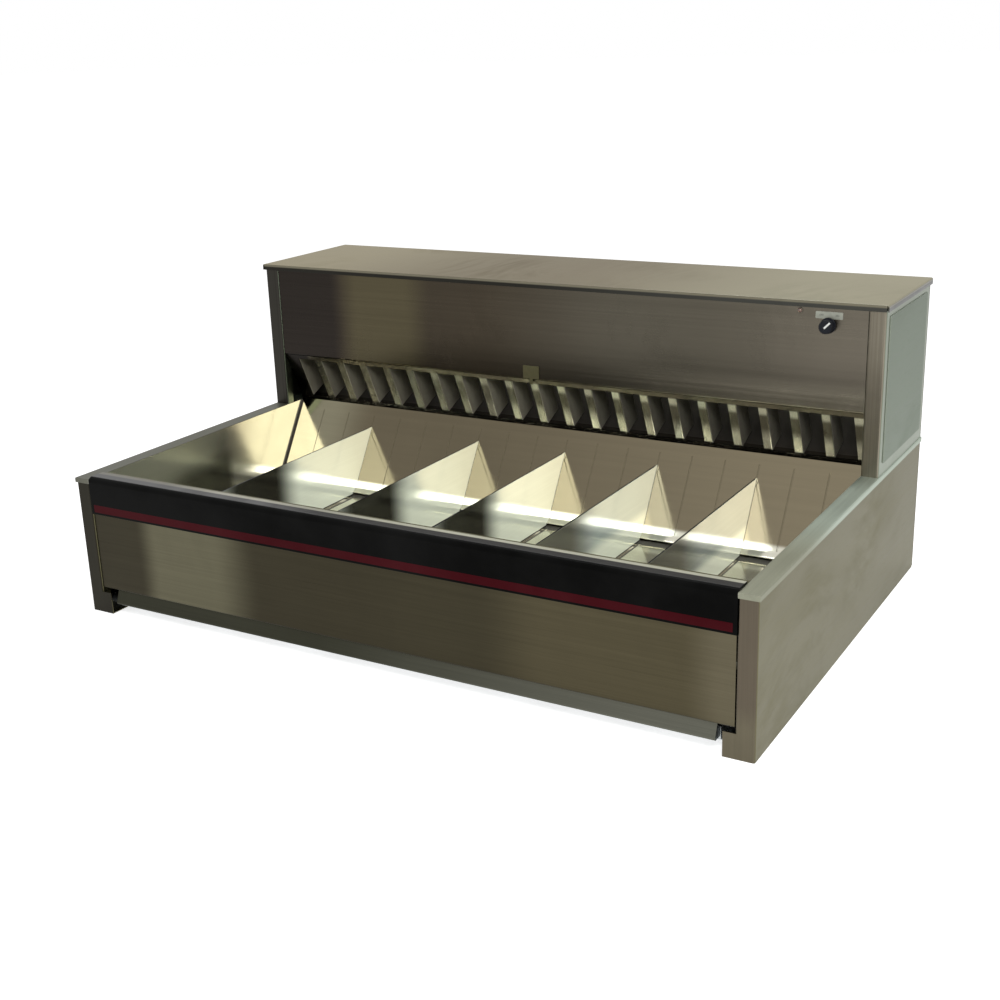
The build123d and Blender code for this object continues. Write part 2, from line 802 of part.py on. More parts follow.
for side_name, side_x in (("left", -blower_x), ("right", blower_x)):
    with BuildPart() as blower_scroll:
        extrude(scroll_profile(across(side_x), scroll_radius, scroll_mouth), amount=scroll_width / 2, both=True)
        inner_profile = scroll_profile(
            across(side_x), scroll_radius - scroll_sheet, scroll_mouth - 2 * scroll_sheet
        )
        extrude(inner_profile, amount=inside_width / 2, both=True, mode=Mode.SUBTRACT)
        with BuildSketch(across(side_x)):
            Circle(inlet_radius)
        extrude(amount=scroll_width, both=True, mode=Mode.SUBTRACT)
        with BuildSketch(facing_front(neck_y + scroll_sheet)):
            with Locations((side_x, neck_low - flange)):
                Rectangle(
                    inside_width + 2 * flange,
                    neck_high - neck_low + 2 * flange,
                    align=(Align.CENTER, Align.MIN),
                )
            with Locations((side_x, neck_low)):
                Rectangle(
                    inside_width,
                    neck_high - neck_low,
                    align=(Align.CENTER, Align.MIN),
                    mode=Mode.SUBTRACT,
                )
        extrude(amount=scroll_sheet)
    finish(blower_scroll, f"blower_scroll_{side_name}")

    with BuildPart() as blower_wheel:
        with BuildSketch(across(side_x)):
            Circle(wheel_radius)
        extrude(amount=wheel_disc / 2, both=True)
        with BuildSketch(across(side_x)):
            Circle(hub_radius)
        extrude(amount=hub_length / 2, both=True)
        with BuildSketch(across(side_x)):
            with PolarLocations(wheel_radius - blade_length / 2, blade_count):
                Rectangle(blade_length, blade_sheet, rotation=blade_turn)
        extrude(amount=wheel_width / 2, both=True)
        for ring_x in (-wheel_width / 2, wheel_width / 2 - wheel_disc):
            with BuildSketch(across(side_x + ring_x)):
                Circle(wheel_radius)
                Circle(wheel_radius - blade_length, mode=Mode.SUBTRACT)
            extrude(amount=wheel_disc)
        with BuildSketch(across(side_x)):
            Circle(rotor_radius + shaft_gap / 2)
        extrude(amount=wheel_width, both=True, mode=Mode.SUBTRACT)
    finish(blower_wheel, f"blower_wheel_{side_name}")

with BuildPart() as rotor_shaft:
    with BuildSketch(across(0)):
        Circle(rotor_radius)
    extrude(amount=blower_x + hub_length / 2 + rotor_overhang, both=True)
finish(rotor_shaft, "rotor_shaft")

with BuildPart() as blower_motor:
    with BuildSketch(across(0)):
        Circle(motor_radius)
    extrude(amount=motor_length / 2, both=True)
    fillet(blower_motor.edges().filter_by(GeomType.CIRCLE), radius=motor_round)
    with BuildSketch(across(0)):
        Circle(boss_radius)
    extrude(amount=motor_length / 2 + boss_length, both=True)
    with BuildSketch(Plane.XY.offset(blower_height - motor_radius)):
        with Locations((0, shaft_y)):
            Rectangle(motor_foot_width, motor_foot_depth)
    extrude(amount=motor_foot_height)
    with BuildSketch(across(0)):
        Circle(motor_bore)
    extrude(amount=motor_length, both=True, mode=Mode.SUBTRACT)
finish(blower_motor, "blower_motor")

with BuildPart() as motor_bracket:
    shelf_z = blower_height - motor_radius
    bracket_path = [
        (neck_y, shelf_z - bracket_drop),
        (neck_y, shelf_z),
        (shaft_y + motor_foot_depth / 2 + bend, shelf_z),
    ]
    bracket_section = bent_sheet(Plane.YZ, bracket_path, Side.RIGHT, bracket_sheet, bend + bracket_sheet)
    extrude(bracket_section, amount=bracket_width / 2, both=True)
finish(motor_bracket, "motor_bracket")

# ---------------------------------------------------------------- heater
heater_y = housing_y + heater_setback

with BuildPart() as heater_element:
    heater_bend = heater_pitch / 2
    with BuildLine() as heater_path:
        lower_run = Line((heater_right, heater_y, heater_height), (heater_left, heater_y, heater_height))
        turn = ThreePointArc(
            lower_run @ 1,
            (heater_left - heater_bend, heater_y, heater_height + heater_bend),
            (heater_left, heater_y, heater_height + heater_pitch),
        )
        Line(turn @ 1, (heater_right, heater_y, heater_height + heater_pitch))
    with BuildSketch(Plane(origin=lower_run @ 0, z_dir=lower_run % 0)):
        Circle(heater_radius)
    sweep(path=heater_path.line)
finish(heater_element, "heater_element")

with BuildPart() as heater_brackets:
    for bracket_x in heater_brackets_x:
        with BuildSketch(Plane.YZ.offset(bracket_x)):
            with Locations((partition_y, heater_height - heater_edge)):
                Rectangle(
                    partition_y - heater_y + heater_edge,
                    heater_pitch + 2 * heater_edge,
                    align=(Align.MAX, Align.MIN),
                )
            with Locations((heater_y, heater_height), (heater_y, heater_height + heater_pitch)):
                Circle(heater_radius + heater_gap, mode=Mode.SUBTRACT)
        extrude(amount=bracket_sheet)
finish(heater_brackets, "heater_brackets")

# ---------------------------------------------------------------- controls
panel_back = housing_panel_y + sheet
knob_back = housing_panel_y - knob_gap
knob_front = knob_back - knob_length


def facing_knob(y: float) -> Plane:
    """Plane at a depth, centred on the knob's axis, that faces the front."""
    return Plane(origin=(knob_x, y, knob_height), x_dir=(1, 0, 0), z_dir=(0, -1, 0))


with BuildPart() as rotary_switch:
    with BuildSketch(facing_knob(panel_back)):
        RectangleRounded(switch_size, switch_size, bend)
    extrude(amount=-switch_depth)
    with BuildSketch(facing_knob(panel_back)):
        Circle(bushing_radius)
    extrude(amount=sheet + bushing_length)
    with BuildSketch(facing_knob(panel_back)):
        Circle(shaft_radius + shaft_gap)
    extrude(amount=2 * bushing_length, mode=Mode.SUBTRACT)
    with BuildSketch(facing_knob(panel_back)):
        Circle(shaft_radius + shaft_gap)
    extrude(amount=-switch_depth / 2, mode=Mode.SUBTRACT)
finish(rotary_switch, "rotary_switch")

with BuildPart() as switch_nut:
    with BuildSketch(facing_knob(housing_panel_y)):
        RegularPolygon(nut_width / 2, 6, major_radius=False)
        Circle(bushing_radius + fit, mode=Mode.SUBTRACT)
    extrude(amount=nut_height)
finish(switch_nut, "switch_nut")

with BuildPart() as switch_shaft:
    with BuildSketch(facing_knob(panel_back + switch_depth / 2 - 2 * fit)):
        Circle(shaft_radius)
    extrude(amount=switch_depth / 2 - 2 * fit + sheet + knob_gap + 2 * knob_length / 3)
finish(switch_shaft, "switch_shaft")

with BuildPart() as knob:
    with BuildSketch(facing_knob(knob_back)):
        Circle(knob_radius)
    extrude(amount=skirt_length)
    with BuildSketch(facing_knob(knob_back - skirt_length)):
        Circle(knob_radius - knob_taper)
        with PolarLocations(knob_radius - knob_taper, flute_count):
            Circle(flute_radius, mode=Mode.SUBTRACT)
    extrude(amount=knob_length - skirt_length)
    fillet(knob.faces().sort_by(Axis.Y)[0].outer_wire().edges(), radius=fit)
    with BuildSketch(facing_knob(knob_back)):
        Circle(shaft_radius + shaft_gap / 2)
    extrude(amount=2 * knob_length / 3, mode=Mode.SUBTRACT)
    pointer_reach = knob_radius - knob_taper - flute_radius - fit
    with BuildSketch(facing_knob(knob_front)) as pointer_sketch:
        with PolarLocations(pointer_reach - pointer_length / 2, 1, start_angle=pointer_angle):
            Rectangle(pointer_length, pointer_width)
    extrude(amount=-pointer_depth, mode=Mode.SUBTRACT)
finish(knob, "knob")

with BuildPart() as knob_pointer:
    extrude(pointer_sketch.sketch, amount=-pointer_depth)
finish(knob_pointer, "knob_pointer")

with BuildPart() as label_plate:
    with BuildSketch(facing_knob(housing_panel_y)):
        with Locations((0, plate_above_knob)):
            RectangleRounded(plate_width, plate_height, bend)
    extrude(amount=plate_depth)
finish(label_plate, "label_plate")

with BuildPart() as pilot_lamp:
    lamp_plane = Plane(origin=(lamp_x, housing_panel_y, lamp_height), x_dir=(1, 0, 0), z_dir=(0, -1, 0))
    with BuildSketch(lamp_plane):
        Circle(lamp_radius + lamp_bezel)
    extrude(amount=lamp_bezel)
    with BuildSketch(lamp_plane):
        Circle(lamp_radius)
    extrude(amount=-lamp_depth)
    with BuildSketch(lamp_plane):
        Circle(lamp_radius - fit)
    extrude(amount=lamp_bezel, mode=Mode.SUBTRACT)
finish(pilot_lamp, "pilot_lamp")

with BuildPart() as pilot_lens:
    with BuildSketch(lamp_plane):
        Circle(lamp_radius - 2 * fit)
    extrude(amount=lens_height)
    fillet(pilot_lens.faces().sort_by(Axis.Y)[0].edges(), radius=lamp_bezel)
finish(pilot_lens, "pilot_lens")

with BuildPart() as limit_switch:
    with BuildSketch(facing_front(partition_y)):
        with Locations((limit_x, limit_height)):
            SlotOverall(limit_ear, limit_radius)
    extrude(amount=sheet)
    with BuildSketch(facing_front(partition_y)):
        with Locations((limit_x, limit_height)):
            Circle(limit_radius)
    extrude(amount=limit_depth)
finish(limit_switch, "limit_switch")

with BuildPart() as terminal_block:
    block_y = (bay_front + bay_rear) / 2
    block_z = bay_bottom + sheet
    block_x = (bay_x + bay_right) / 2
    with BuildSketch(Plane.XY.offset(block_z)):
        with Locations((block_x, block_y)):
            Rectangle(block_width, block_depth)
    extrude(amount=block_height)
    with BuildSketch(Plane.XY.offset(block_z + block_height)):
        with Locations((block_x, block_y)):
            with GridLocations(block_width / block_ways, block_depth / 2, block_ways, 2):
                Circle(block_depth / 6)
    extrude(amount=-block_height / 2, mode=Mode.SUBTRACT)
finish(terminal_block, "terminal_block")

with BuildPart() as cord_gland:
    gland_plane = Plane(origin=(gland_x, rear, gland_height), x_dir=(-1, 0, 0), z_dir=(0, 1, 0))
    with BuildSketch(gland_plane):
        Circle(gland_flange)
    extrude(amount=gland_reach / 3)
    with BuildSketch(gland_plane.offset(gland_reach / 3)) as gland_wide:
        Circle(gland_body)
    with BuildSketch(gland_plane.offset(gland_reach)) as gland_narrow:
        Circle(gland_body - bend)
    loft([gland_wide.sketch.face(), gland_narrow.sketch.face()])
    with BuildSketch(gland_plane):
        Circle(gland_body)
    extrude(amount=-gland_inside)
    with BuildSketch(gland_plane):
        Circle(gland_bore)
    extrude(amount=2 * gland_inside, both=True, mode=Mode.SUBTRACT)
finish(cord_gland, "cord_gland")


def screw_group(heights):
    """Pan-head screws down both rear edges, one pair at each height."""
    with BuildPart() as screws:
        for screw_z in heights:
            for screw_x in (screw_inset - half_width, half_width - screw_inset):
                screw_plane = Plane(origin=(screw_x, rear, screw_z), x_dir=(-1, 0, 0), z_dir=(0, 1, 0))
                with BuildSketch(screw_plane):
                    Circle(screw_head)
                extrude(amount=screw_head_height)
                with BuildSketch(screw_plane):
                    Circle(screw_radius)
                extrude(amount=-screw_length)
    return screws


finish(screw_group(base_screw_heights), "back_panel_screws")
finish(screw_group(cover_screw_heights), "rear_cover_screws")

for piece in pieces:
    export_step(piece, f"parts/{piece.label}.step")
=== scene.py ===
"""Looks of a countertop chip warmer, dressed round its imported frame.

Metres. X runs across the cabinet, +Y to the rear and +Z up; the origin is on the ground at the
middle of the footprint.
"""

import json
import logging
import math
from dataclasses import dataclass, replace
from enum import Enum
from typing import Callable, Iterable, Sequence

import bpy
from mathutils import Matrix, Vector

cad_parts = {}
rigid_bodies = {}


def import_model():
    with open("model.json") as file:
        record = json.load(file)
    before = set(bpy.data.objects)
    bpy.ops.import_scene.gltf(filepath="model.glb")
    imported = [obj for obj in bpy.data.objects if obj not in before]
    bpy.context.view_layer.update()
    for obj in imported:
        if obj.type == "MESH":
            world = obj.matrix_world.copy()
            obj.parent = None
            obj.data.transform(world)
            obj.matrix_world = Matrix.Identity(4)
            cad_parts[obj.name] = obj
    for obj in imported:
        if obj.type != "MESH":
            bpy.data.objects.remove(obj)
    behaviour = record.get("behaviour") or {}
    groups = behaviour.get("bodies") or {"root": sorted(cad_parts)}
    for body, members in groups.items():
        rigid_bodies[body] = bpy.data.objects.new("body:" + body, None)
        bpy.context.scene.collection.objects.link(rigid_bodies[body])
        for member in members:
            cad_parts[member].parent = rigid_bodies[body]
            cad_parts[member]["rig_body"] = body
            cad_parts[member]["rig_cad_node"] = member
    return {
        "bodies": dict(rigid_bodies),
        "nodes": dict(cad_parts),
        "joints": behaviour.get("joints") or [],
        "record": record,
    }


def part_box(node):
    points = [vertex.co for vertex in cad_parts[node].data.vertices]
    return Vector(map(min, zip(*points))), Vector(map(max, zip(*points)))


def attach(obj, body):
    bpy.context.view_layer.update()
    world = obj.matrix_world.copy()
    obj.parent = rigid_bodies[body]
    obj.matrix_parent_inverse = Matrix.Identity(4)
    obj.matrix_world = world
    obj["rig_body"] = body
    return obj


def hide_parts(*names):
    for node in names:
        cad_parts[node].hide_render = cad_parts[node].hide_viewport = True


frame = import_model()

log = logging.getLogger("chip_warmer")

Colour = tuple[float, float, float]
Node = bpy.types.Node
Piece = bpy.types.Object
Polygon = bpy.types.MeshPolygon
Range = tuple[float, float, float, float]
Rises = tuple[tuple[float, float], ...]
Socket = bpy.types.NodeSocket
Step = Callable[[], object]
Test = Callable[[Polygon], bool]

MM = 0.001
FRONT = Vector((0.0, -1.0, 0.0))
REAR = Vector((0.0, 1.0, 0.0))
UP = Vector((0.0, 0.0, 1.0))
DOWN = Vector((0.0, 0.0, -1.0))
LEFT = Vector((-1.0, 0.0, 0.0))
RIGHT = Vector((1.0, 0.0, 0.0))
OPEN = 9.0  # stands for an end that a range doesn't have
WHITE = (1.0, 1.0, 1.0, 1.0)
EVERYWHERE = (-OPEN, -OPEN, OPEN, OPEN)


# ---------------------------------------------------------------- shader trees
class Tree:
    """Adds nodes to one shader tree and joins them."""

    def __init__(self, tree: bpy.types.NodeTree) -> None:
        """Keeps the material's, world's or group's tree that the nodes go into."""
        self.tree = tree

    @classmethod
    def of(cls, owner: bpy.types.ID) -> "Tree":
        """Clears the tree of a material or world.

        Args:
            owner: The material or world.

        Returns:
            Its tree, empty.
        """
        owner.use_nodes = True
        owner.node_tree.nodes.clear()
        return cls(owner.node_tree)

    def feed(self, node: Node, sockets: dict) -> None:
        """Gives a node its inputs.

        Args:
            node: The node.
            sockets: Input name or number to a plain value or to the output that feeds it.
        """
        for name, value in sockets.items():
            if isinstance(value, Socket):
                self.tree.links.new(value, node.inputs[name])
            else:
                node.inputs[name].default_value = value

    def add(self, kind: str, sockets: dict | None = None, **settings: object) -> Node:
        """Adds one node.

        Args:
            kind: Blender's name for the node type.
            sockets: Its inputs, as feed takes them.
            **settings: Properties of the node itself.

        Returns:
            The new node.
        """
        node = self.tree.nodes.new(kind)
        for name, value in settings.items():
            setattr(node, name, value)
        self.feed(node, sockets or {})
        return node

    def maths(self, operation: str, first: object, second: object = 0.0) -> Socket:
        """Adds a Math node and returns its result."""
        return self.add("ShaderNodeMath", {0: first, 1: second}, operation=operation).outputs[0]

    def plus(self, first: object, second: object) -> Socket:
        """The sum of two values."""
        return self.maths("ADD", first, second)

    def times(self, first: object, second: object) -> Socket:
        """The product of two values."""
        return self.maths("MULTIPLY", first, second)

    def spread(
        self, value: object, low: float, high: float, first: float = 0, last: float = 1, kind: str = "LINEAR"
    ) -> Socket:
        """Maps a value from one range to another and clamps it there."""
        sockets = {"Value": value, 1: low, 2: high, 3: first, 4: last}
        return self.add("ShaderNodeMapRange", sockets, interpolation_type=kind).outputs["Result"]

    def blend(self, factor: object, first: object, second: object, mode: str = "MIX") -> Socket:
        """Mixes two colours and returns the result."""
        sockets = {0: factor, 6: first, 7: second}
        return self.add("ShaderNodeMix", sockets, data_type="RGBA", blend_type=mode).outputs[2]

    def noise(self, vector: object, scale: float, detail: float = 2.0, rough: float = 0.5) -> Socket:
        """Adds a noise texture and returns its value, from about 0.25 to 0.75."""
        sockets = {"Vector": vector, "Scale": scale, "Detail": detail, "Roughness": rough}
        return self.add("ShaderNodeTexNoise", sockets).outputs["Fac"]

    def stretch(self, vector: object, scale: Sequence[float], turn: Sequence[float] = (0, 0, 0)) -> Socket:
        """Scales and turns a vector and returns it."""
        sockets = {"Vector": vector, "Scale": scale, "Rotation": turn}
        return self.add("ShaderNodeMapping", sockets).outputs[0]


def colour(tone: Colour) -> tuple[float, float, float, float]:
    """A tone with the full alpha that Blender's colour sockets take."""
    return (*tone, 1.0)


class Effect(Tree):
    """A shader node group that several finishes share; its kinds below fill it.

    It reads where on the piece it is, and a scale where it has a start value for one.
    """

    name: str
    output: str
    start: float | None = None

    def __init__(self) -> None:
        """Makes the group with its inputs, nodes and output."""
        super().__init__(bpy.data.node_groups.new(self.name, "ShaderNodeTree"))
        sockets = self.tree.interface
        sockets.new_socket(name="Vector", in_out="INPUT", socket_type="NodeSocketVector")
        if self.start is not None:
            scale = sockets.new_socket(name="Scale", in_out="INPUT", socket_type="NodeSocketFloat")
            scale.default_value = self.start
        sockets.new_socket(name=self.output, in_out="OUTPUT", socket_type="NodeSocketFloat")
        self.given = self.add("NodeGroupInput").outputs
        self.vector = self.given["Vector"]
        self.add("NodeGroupOutput", {self.output: self.fill()})

    def fill(self) -> Socket:
        """Adds the group's nodes and returns the value that it puts out."""
        raise NotImplementedError

    @classmethod
    def on(cls, tree: Tree, vector: Socket, **values: float) -> Socket:
        """Places the group in a material and returns the value that it puts out."""
        made = bpy.data.node_groups.get(cls.name) or cls().tree
        return tree.add("ShaderNodeGroup", {"Vector": vector, **values}, node_tree=made).outputs[0]


class BrushedGrain(Effect):
    """Fine and broad brushing lines in a vector that was already stretched along the grain."""

    name = "brushed_grain"
    output = "Lines"

    def fill(self) -> Socket:
        """Adds the lines.

        Returns:
            The lines, from 0 to 1.
        """
        fine = self.noise(self.vector, 1.0, 3.0, 0.7)
        broad = self.noise(self.stretch(self.vector, (0.11, 0.11, 0.11)), 1.0, 2.0, 0.6)
        return self.spread(self.plus(self.times(fine, 0.6), self.times(broad, 0.4)), 0.34, 0.66)


class Clouding(Effect):
    """Soft patches where sheet looks lighter or darker."""

    name = "clouding"
    output = "Patches"
    start = 3.0

    def fill(self) -> Socket:
        """Adds the patches.

        Returns:
            The patches, from 0 to 1.
        """
        sockets = {0: self.vector, 3: self.given["Scale"]}
        scaled = self.add("ShaderNodeVectorMath", sockets, operation="SCALE").outputs[0]
        large = self.noise(scaled, 1.0, 1.0, 0.4)
        small = self.noise(scaled, 3.7, 3.0, 0.55)
        return self.spread(self.plus(self.times(large, 0.72), self.times(small, 0.28)), 0.36, 0.64)


class WipeMarks(Effect):
    """Faint arcs and smears left by a wiping cloth."""

    name = "wipe_marks"
    output = "Smears"

    def fill(self) -> Socket:
        """Adds the smears.

        Returns:
            The smears, from 0 to 1.
        """
        bent = self.add("ShaderNodeTexNoise", {"Vector": self.vector, "Scale": 2.3, "Detail": 1.0})
        sockets = {0: bent.outputs["Color"], 1: (0.35, 0.35, 0.35), 2: self.vector}
        pulled = self.add("ShaderNodeVectorMath", sockets, operation="MULTIPLY_ADD").outputs[0]
        smears = self.noise(self.stretch(pulled, (34.0, 7.0, 20.0), (0.4, 0.7, 0.3)), 1.0, 3.0, 0.6)
        where = self.spread(self.noise(self.vector, 5.0, 1.0), 0.42, 0.62)
        return self.times(self.spread(smears, 0.40, 0.66), where)


class HairlineScratches(Effect):
    """Short thin scratches in two directions."""

    name = "hairline_scratches"
    output = "Scratches"

    def fill(self) -> Socket:
        """Adds the scratches.

        Returns:
            The scratches, from 0 to 1.
        """
        found = []
        for turn in ((0.5, 0.9, 0.2), (-0.8, -0.4, 1.1)):
            line = self.noise(self.stretch(self.vector, (2600.0, 45.0, 1300.0), turn), 1.0, 0.0)
            found.append(self.spread(line, 0.76, 0.80))
        return self.maths("MAXIMUM", *found)


class Pebble(Effect):
    """The fine texture of moulded plastic and enamel."""

    name = "pebble"
    output = "Height"
    start = 900.0

    def fill(self) -> Socket:
        """Adds the texture and returns its height, from 0 to 1."""
        return self.spread(self.noise(self.vector, self.given["Scale"]), 0.35, 0.65)


class Surface(Tree):
    """A material's tree, with its shader and the place on the piece."""

    def __init__(self, tree: bpy.types.NodeTree) -> None:
        """Starts the tree with the shader and the Object coordinates.

        Args:
            tree: The material's tree.
        """
        super().__init__(tree)
        self.shader = self.add("ShaderNodeBsdfPrincipled")
        self.add("ShaderNodeOutputMaterial", {"Surface": self.shader.outputs[0]})
        self.place = self.add("ShaderNodeTexCoord").outputs["Object"]

    def bump(self, height: Socket) -> Socket:
        """The normal of a surface that rises by a height in metres."""
        return self.add("ShaderNodeBump", {"Strength": 1.0, "Distance": 1.0, "Height": height}).outputs[0]


# ---------------------------------------------------------------- finishes
class Grain(Enum):
    """Direction that a sheet was brushed in, as the scale of its lines in lines per metre."""

    ALONG_X = (7.0, 1500.0, 1500.0)
    ALONG_Y = (1500.0, 7.0, 1500.0)
    ALONG_Z = (1500.0, 1500.0, 7.0)

    @property
    def tangent(self) -> tuple[float, ...]:
        """Unit vector along the lines."""
        return tuple(float(scale == min(self.value)) for scale in self.value)


@dataclass(frozen=True)
class Finish:
    """A named surface finish; its kinds below build the material."""

    name: str
    tone: Colour

    def material(self) -> bpy.types.Material:
        """Gives the finish's material, which is built the first time.

        Returns:
            The material.
        """
        made = bpy.data.materials.get(self.name)
        if made is None:
            made = bpy.data.materials.new(self.name)
            made.diffuse_color = colour(self.tone)
            self.build(Surface.of(made))
        return made

    def build(self, surface: Surface) -> None:
        """Feeds the surface's shader; each kind of finish has its own way."""
        raise NotImplementedError


def until(fading: float, gone: float) -> Range:
    """A range that is full from its open low end and then fades out."""
    return (-OPEN, -OPEN, fading, gone)


def beyond(start: float, full: float) -> Range:
    """A range that fades in and is full to its open high end."""
    return (start, full, OPEN, OPEN)


@dataclass(frozen=True)
class PaintedLightZone:
    """A part of a sheet painted with a reflection, highlight or shade, which fades in and out along the axes.

    Each range is where the zone starts, is full, begins to fade and has faded, in metres.
    """

    tone: Colour
    x: Range = EVERYWHERE
    y: Range = EVERYWHERE
    z: Range = EVERYWHERE

    def mask(self, tree: Tree, along: dict[str, Socket]) -> Socket:
        """Adds the nodes that are 1 inside the zone.

        Args:
            tree: The material's tree.
            along: Object coordinates by axis.

        Returns:
            The zone's share at a point.
        """
        result = 1.0
        for axis, (start, full, fading, gone) in {"X": self.x, "Y": self.y, "Z": self.z}.items():
            for low, high, first, last in ((start, full, 0.0, 1.0), (fading, gone, 1.0, 0.0)):
                if abs(low) < OPEN:
                    step = tree.spread(along[axis], low, high, first, last, "SMOOTHSTEP")
                    result = tree.times(result, step)
        return result


@dataclass(frozen=True)
class SheetSteel(Finish):
    """Stainless sheet, brushed or bright, with patches, wipe marks, a slight unevenness and zones of painted
    reflection, highlight and shade.

    The shade is the tone of its darker patches, and uneven is how far they shift a zone's ends.
    """

    shade: Colour = (0.1, 0.1, 0.1)
    painted_light: tuple[PaintedLightZone, ...] = ()
    metallic: float = 1.0
    edge_tint: Colour = (1.0, 1.0, 1.0)
    uneven: float = 8 * MM
    grain: Grain = Grain.ALONG_X
    roughness: float = 0.3
    roughness_spread: float = 0.10
    lines: float = 0.12
    line_depth: float = 1.2e-6
    patch_scale: float = 3.0
    waviness: float = 0.12 * MM
    wave_scale: float = 5.0
    anisotropy: float = 0.5

    def build(self, surface: Surface) -> None:
        """Feeds the shader with brushed, patchy steel.

        Args:
            surface: The material's tree.
        """
        place = surface.place
        lines = BrushedGrain.on(surface, surface.stretch(place, self.grain.value))
        patches = Clouding.on(surface, place, Scale=self.patch_scale)
        smears = surface.times(WipeMarks.on(surface, place), self.roughness_spread)
        scratches = surface.times(HairlineScratches.on(surface, place), 0.5 * self.roughness_spread)
        body = surface.blend(patches, colour(self.shade), colour(self.tone))
        # Paints the zones' reflections, highlights and shadows over the sheet's tone.
        if self.painted_light:
            along = dict(surface.add("ShaderNodeSeparateXYZ", {0: place}).outputs.items())
            shift = surface.spread(patches, 0.0, 1.0, -self.uneven, self.uneven)
            along["X"] = surface.plus(along["X"], shift)
            for zone in self.painted_light:
                body = surface.blend(zone.mask(surface, along), body, colour(zone.tone))
        streak = surface.spread(lines, 0, 1, 1 - self.lines, 1.0 + self.lines)
        grey = surface.add("ShaderNodeCombineColor", {0: streak, 1: streak, 2: streak}).outputs[0]
        rough = surface.plus(surface.plus(self.roughness, smears), scratches)
        waves = surface.times(surface.noise(place, self.wave_scale, 1.0, 0.4), self.waviness)
        height = surface.plus(waves, surface.times(lines, self.line_depth))
        tangent = surface.add("ShaderNodeCombineXYZ", dict(enumerate(self.grain.tangent))).outputs[0]
        shader = {
            "Base Color": surface.blend(1.0, body, grey, "MULTIPLY"),
            "Metallic": self.metallic,
            "Specular Tint": colour(self.edge_tint),
            "Anisotropic": self.anisotropy,
            "Tangent": tangent,
            "Roughness": surface.plus(rough, surface.spread(lines, 0.0, 1.0, -0.03, 0.03)),
            "Normal": surface.bump(height),
        }
        surface.feed(surface.shader, shader)


@dataclass(frozen=True)
class BrightSteel(SheetSteel):
    """Bright sheet with hardly a trace of brushing."""

    metallic: float = 0.85
    uneven: float = 0.0
    roughness_spread: float = 0.05
    lines: float = 0.04
    line_depth: float = 0.2e-6
    waviness: float = 0.03 * MM
    anisotropy: float = 0.2


@dataclass(frozen=True)
class Coated(Finish):
    """Film, enamel or plated sheet: a body colour with patches, dust and a fine texture."""

    metallic: float = 0.0
    roughness: float = 0.4
    variation: float = 0.15
    texture_scale: float = 900.0
    texture_depth: float = 6e-6
    patch_scale: float = 9.0
    specular: float = 0.5

    def build(self, surface: Surface) -> None:
        """Feeds the shader with an even body colour and a fine texture.

        Args:
            surface: The material's tree.
        """
        place = surface.place
        patches = Clouding.on(surface, place, Scale=self.patch_scale)
        smears = WipeMarks.on(surface, place)
        grains = Pebble.on(surface, place, Scale=self.texture_scale)
        dark = tuple(part * (1.0 - self.variation) for part in self.tone)
        light = tuple(min(1.0, part * (1.0 + self.variation) + 0.004) for part in self.tone)
        shader = {
            "Base Color": surface.blend(patches, colour(dark), colour(light)),
            "Metallic": self.metallic,
            "Specular IOR Level": self.specular,
            "Roughness": surface.plus(self.roughness, surface.times(smears, 0.12)),
            "Normal": surface.bump(surface.times(grains, self.texture_depth)),
        }
        surface.feed(surface.shader, shader)


@dataclass(frozen=True)
class Lens(Finish):
    """A translucent moulded lens with lighter spots."""

    light: Colour = (0.9, 0.5, 0.4)

    def build(self, surface: Surface) -> None:
        """Feeds the shader with a smooth, slightly cloudy body.

        Args:
            surface: The material's tree.
        """
        ripple = surface.spread(surface.noise(surface.place, 700.0, 1.0), 0.3, 0.7)
        shader = {
            "Base Color": surface.blend(ripple, colour(self.tone), colour(self.light)),
            "Roughness": 0.12,
            "Coat Weight": 0.6,
            "Subsurface Weight": 0.2,
            "Subsurface Scale": 2 * MM,
        }
        surface.feed(surface.shader, shader)


# Most stainless tones in this table are lit and shaded copies of one sheet, each set darker or lighter for
# the reflection that falls on its faces: painted reflection and shade. BACK_STEEL and END_STEEL keep the
# plain stainless tone.
FRONT_STEEL = SheetSteel(
    "front_steel", (0.038, 0.033, 0.02), (0.03, 0.026, 0.016), roughness=0.3, patch_scale=2.2,
    # Painted reflections: lighter bands at the left and towards the right of the front panel.
    painted_light=(
        PaintedLightZone((0.098, 0.091, 0.058), x=(-0.41, -0.37, -0.27, -0.19)),
        PaintedLightZone((0.062, 0.053, 0.031), x=beyond(0.15, 0.25)),
        PaintedLightZone((0.096, 0.084, 0.054), x=beyond(0.42, 0.475)),
    ),
)
# Painted reflections on the housing front: dark at the far left, a lighter band at the left, lighter towards
# the right and a bright band low on the right.
HOUSING_STEEL = SheetSteel(
    "housing_steel", (0.054, 0.044, 0.031), (0.043, 0.035, 0.025), roughness=0.24,
    patch_scale=2.6,
    painted_light=(
        PaintedLightZone((0.024, 0.02, 0.017), x=until(-0.39, -0.36)),
        PaintedLightZone((0.075, 0.064, 0.038), x=(-0.375, -0.335, -0.25, -0.19)),
        PaintedLightZone((0.08, 0.072, 0.055), x=beyond(-0.12, 0.15)),
        PaintedLightZone((0.115, 0.102, 0.08), x=beyond(0.24, 0.46)),
        PaintedLightZone((0.27, 0.245, 0.19), x=beyond(0.05, 0.42), z=until(0.3, 0.332)),
    ),
)
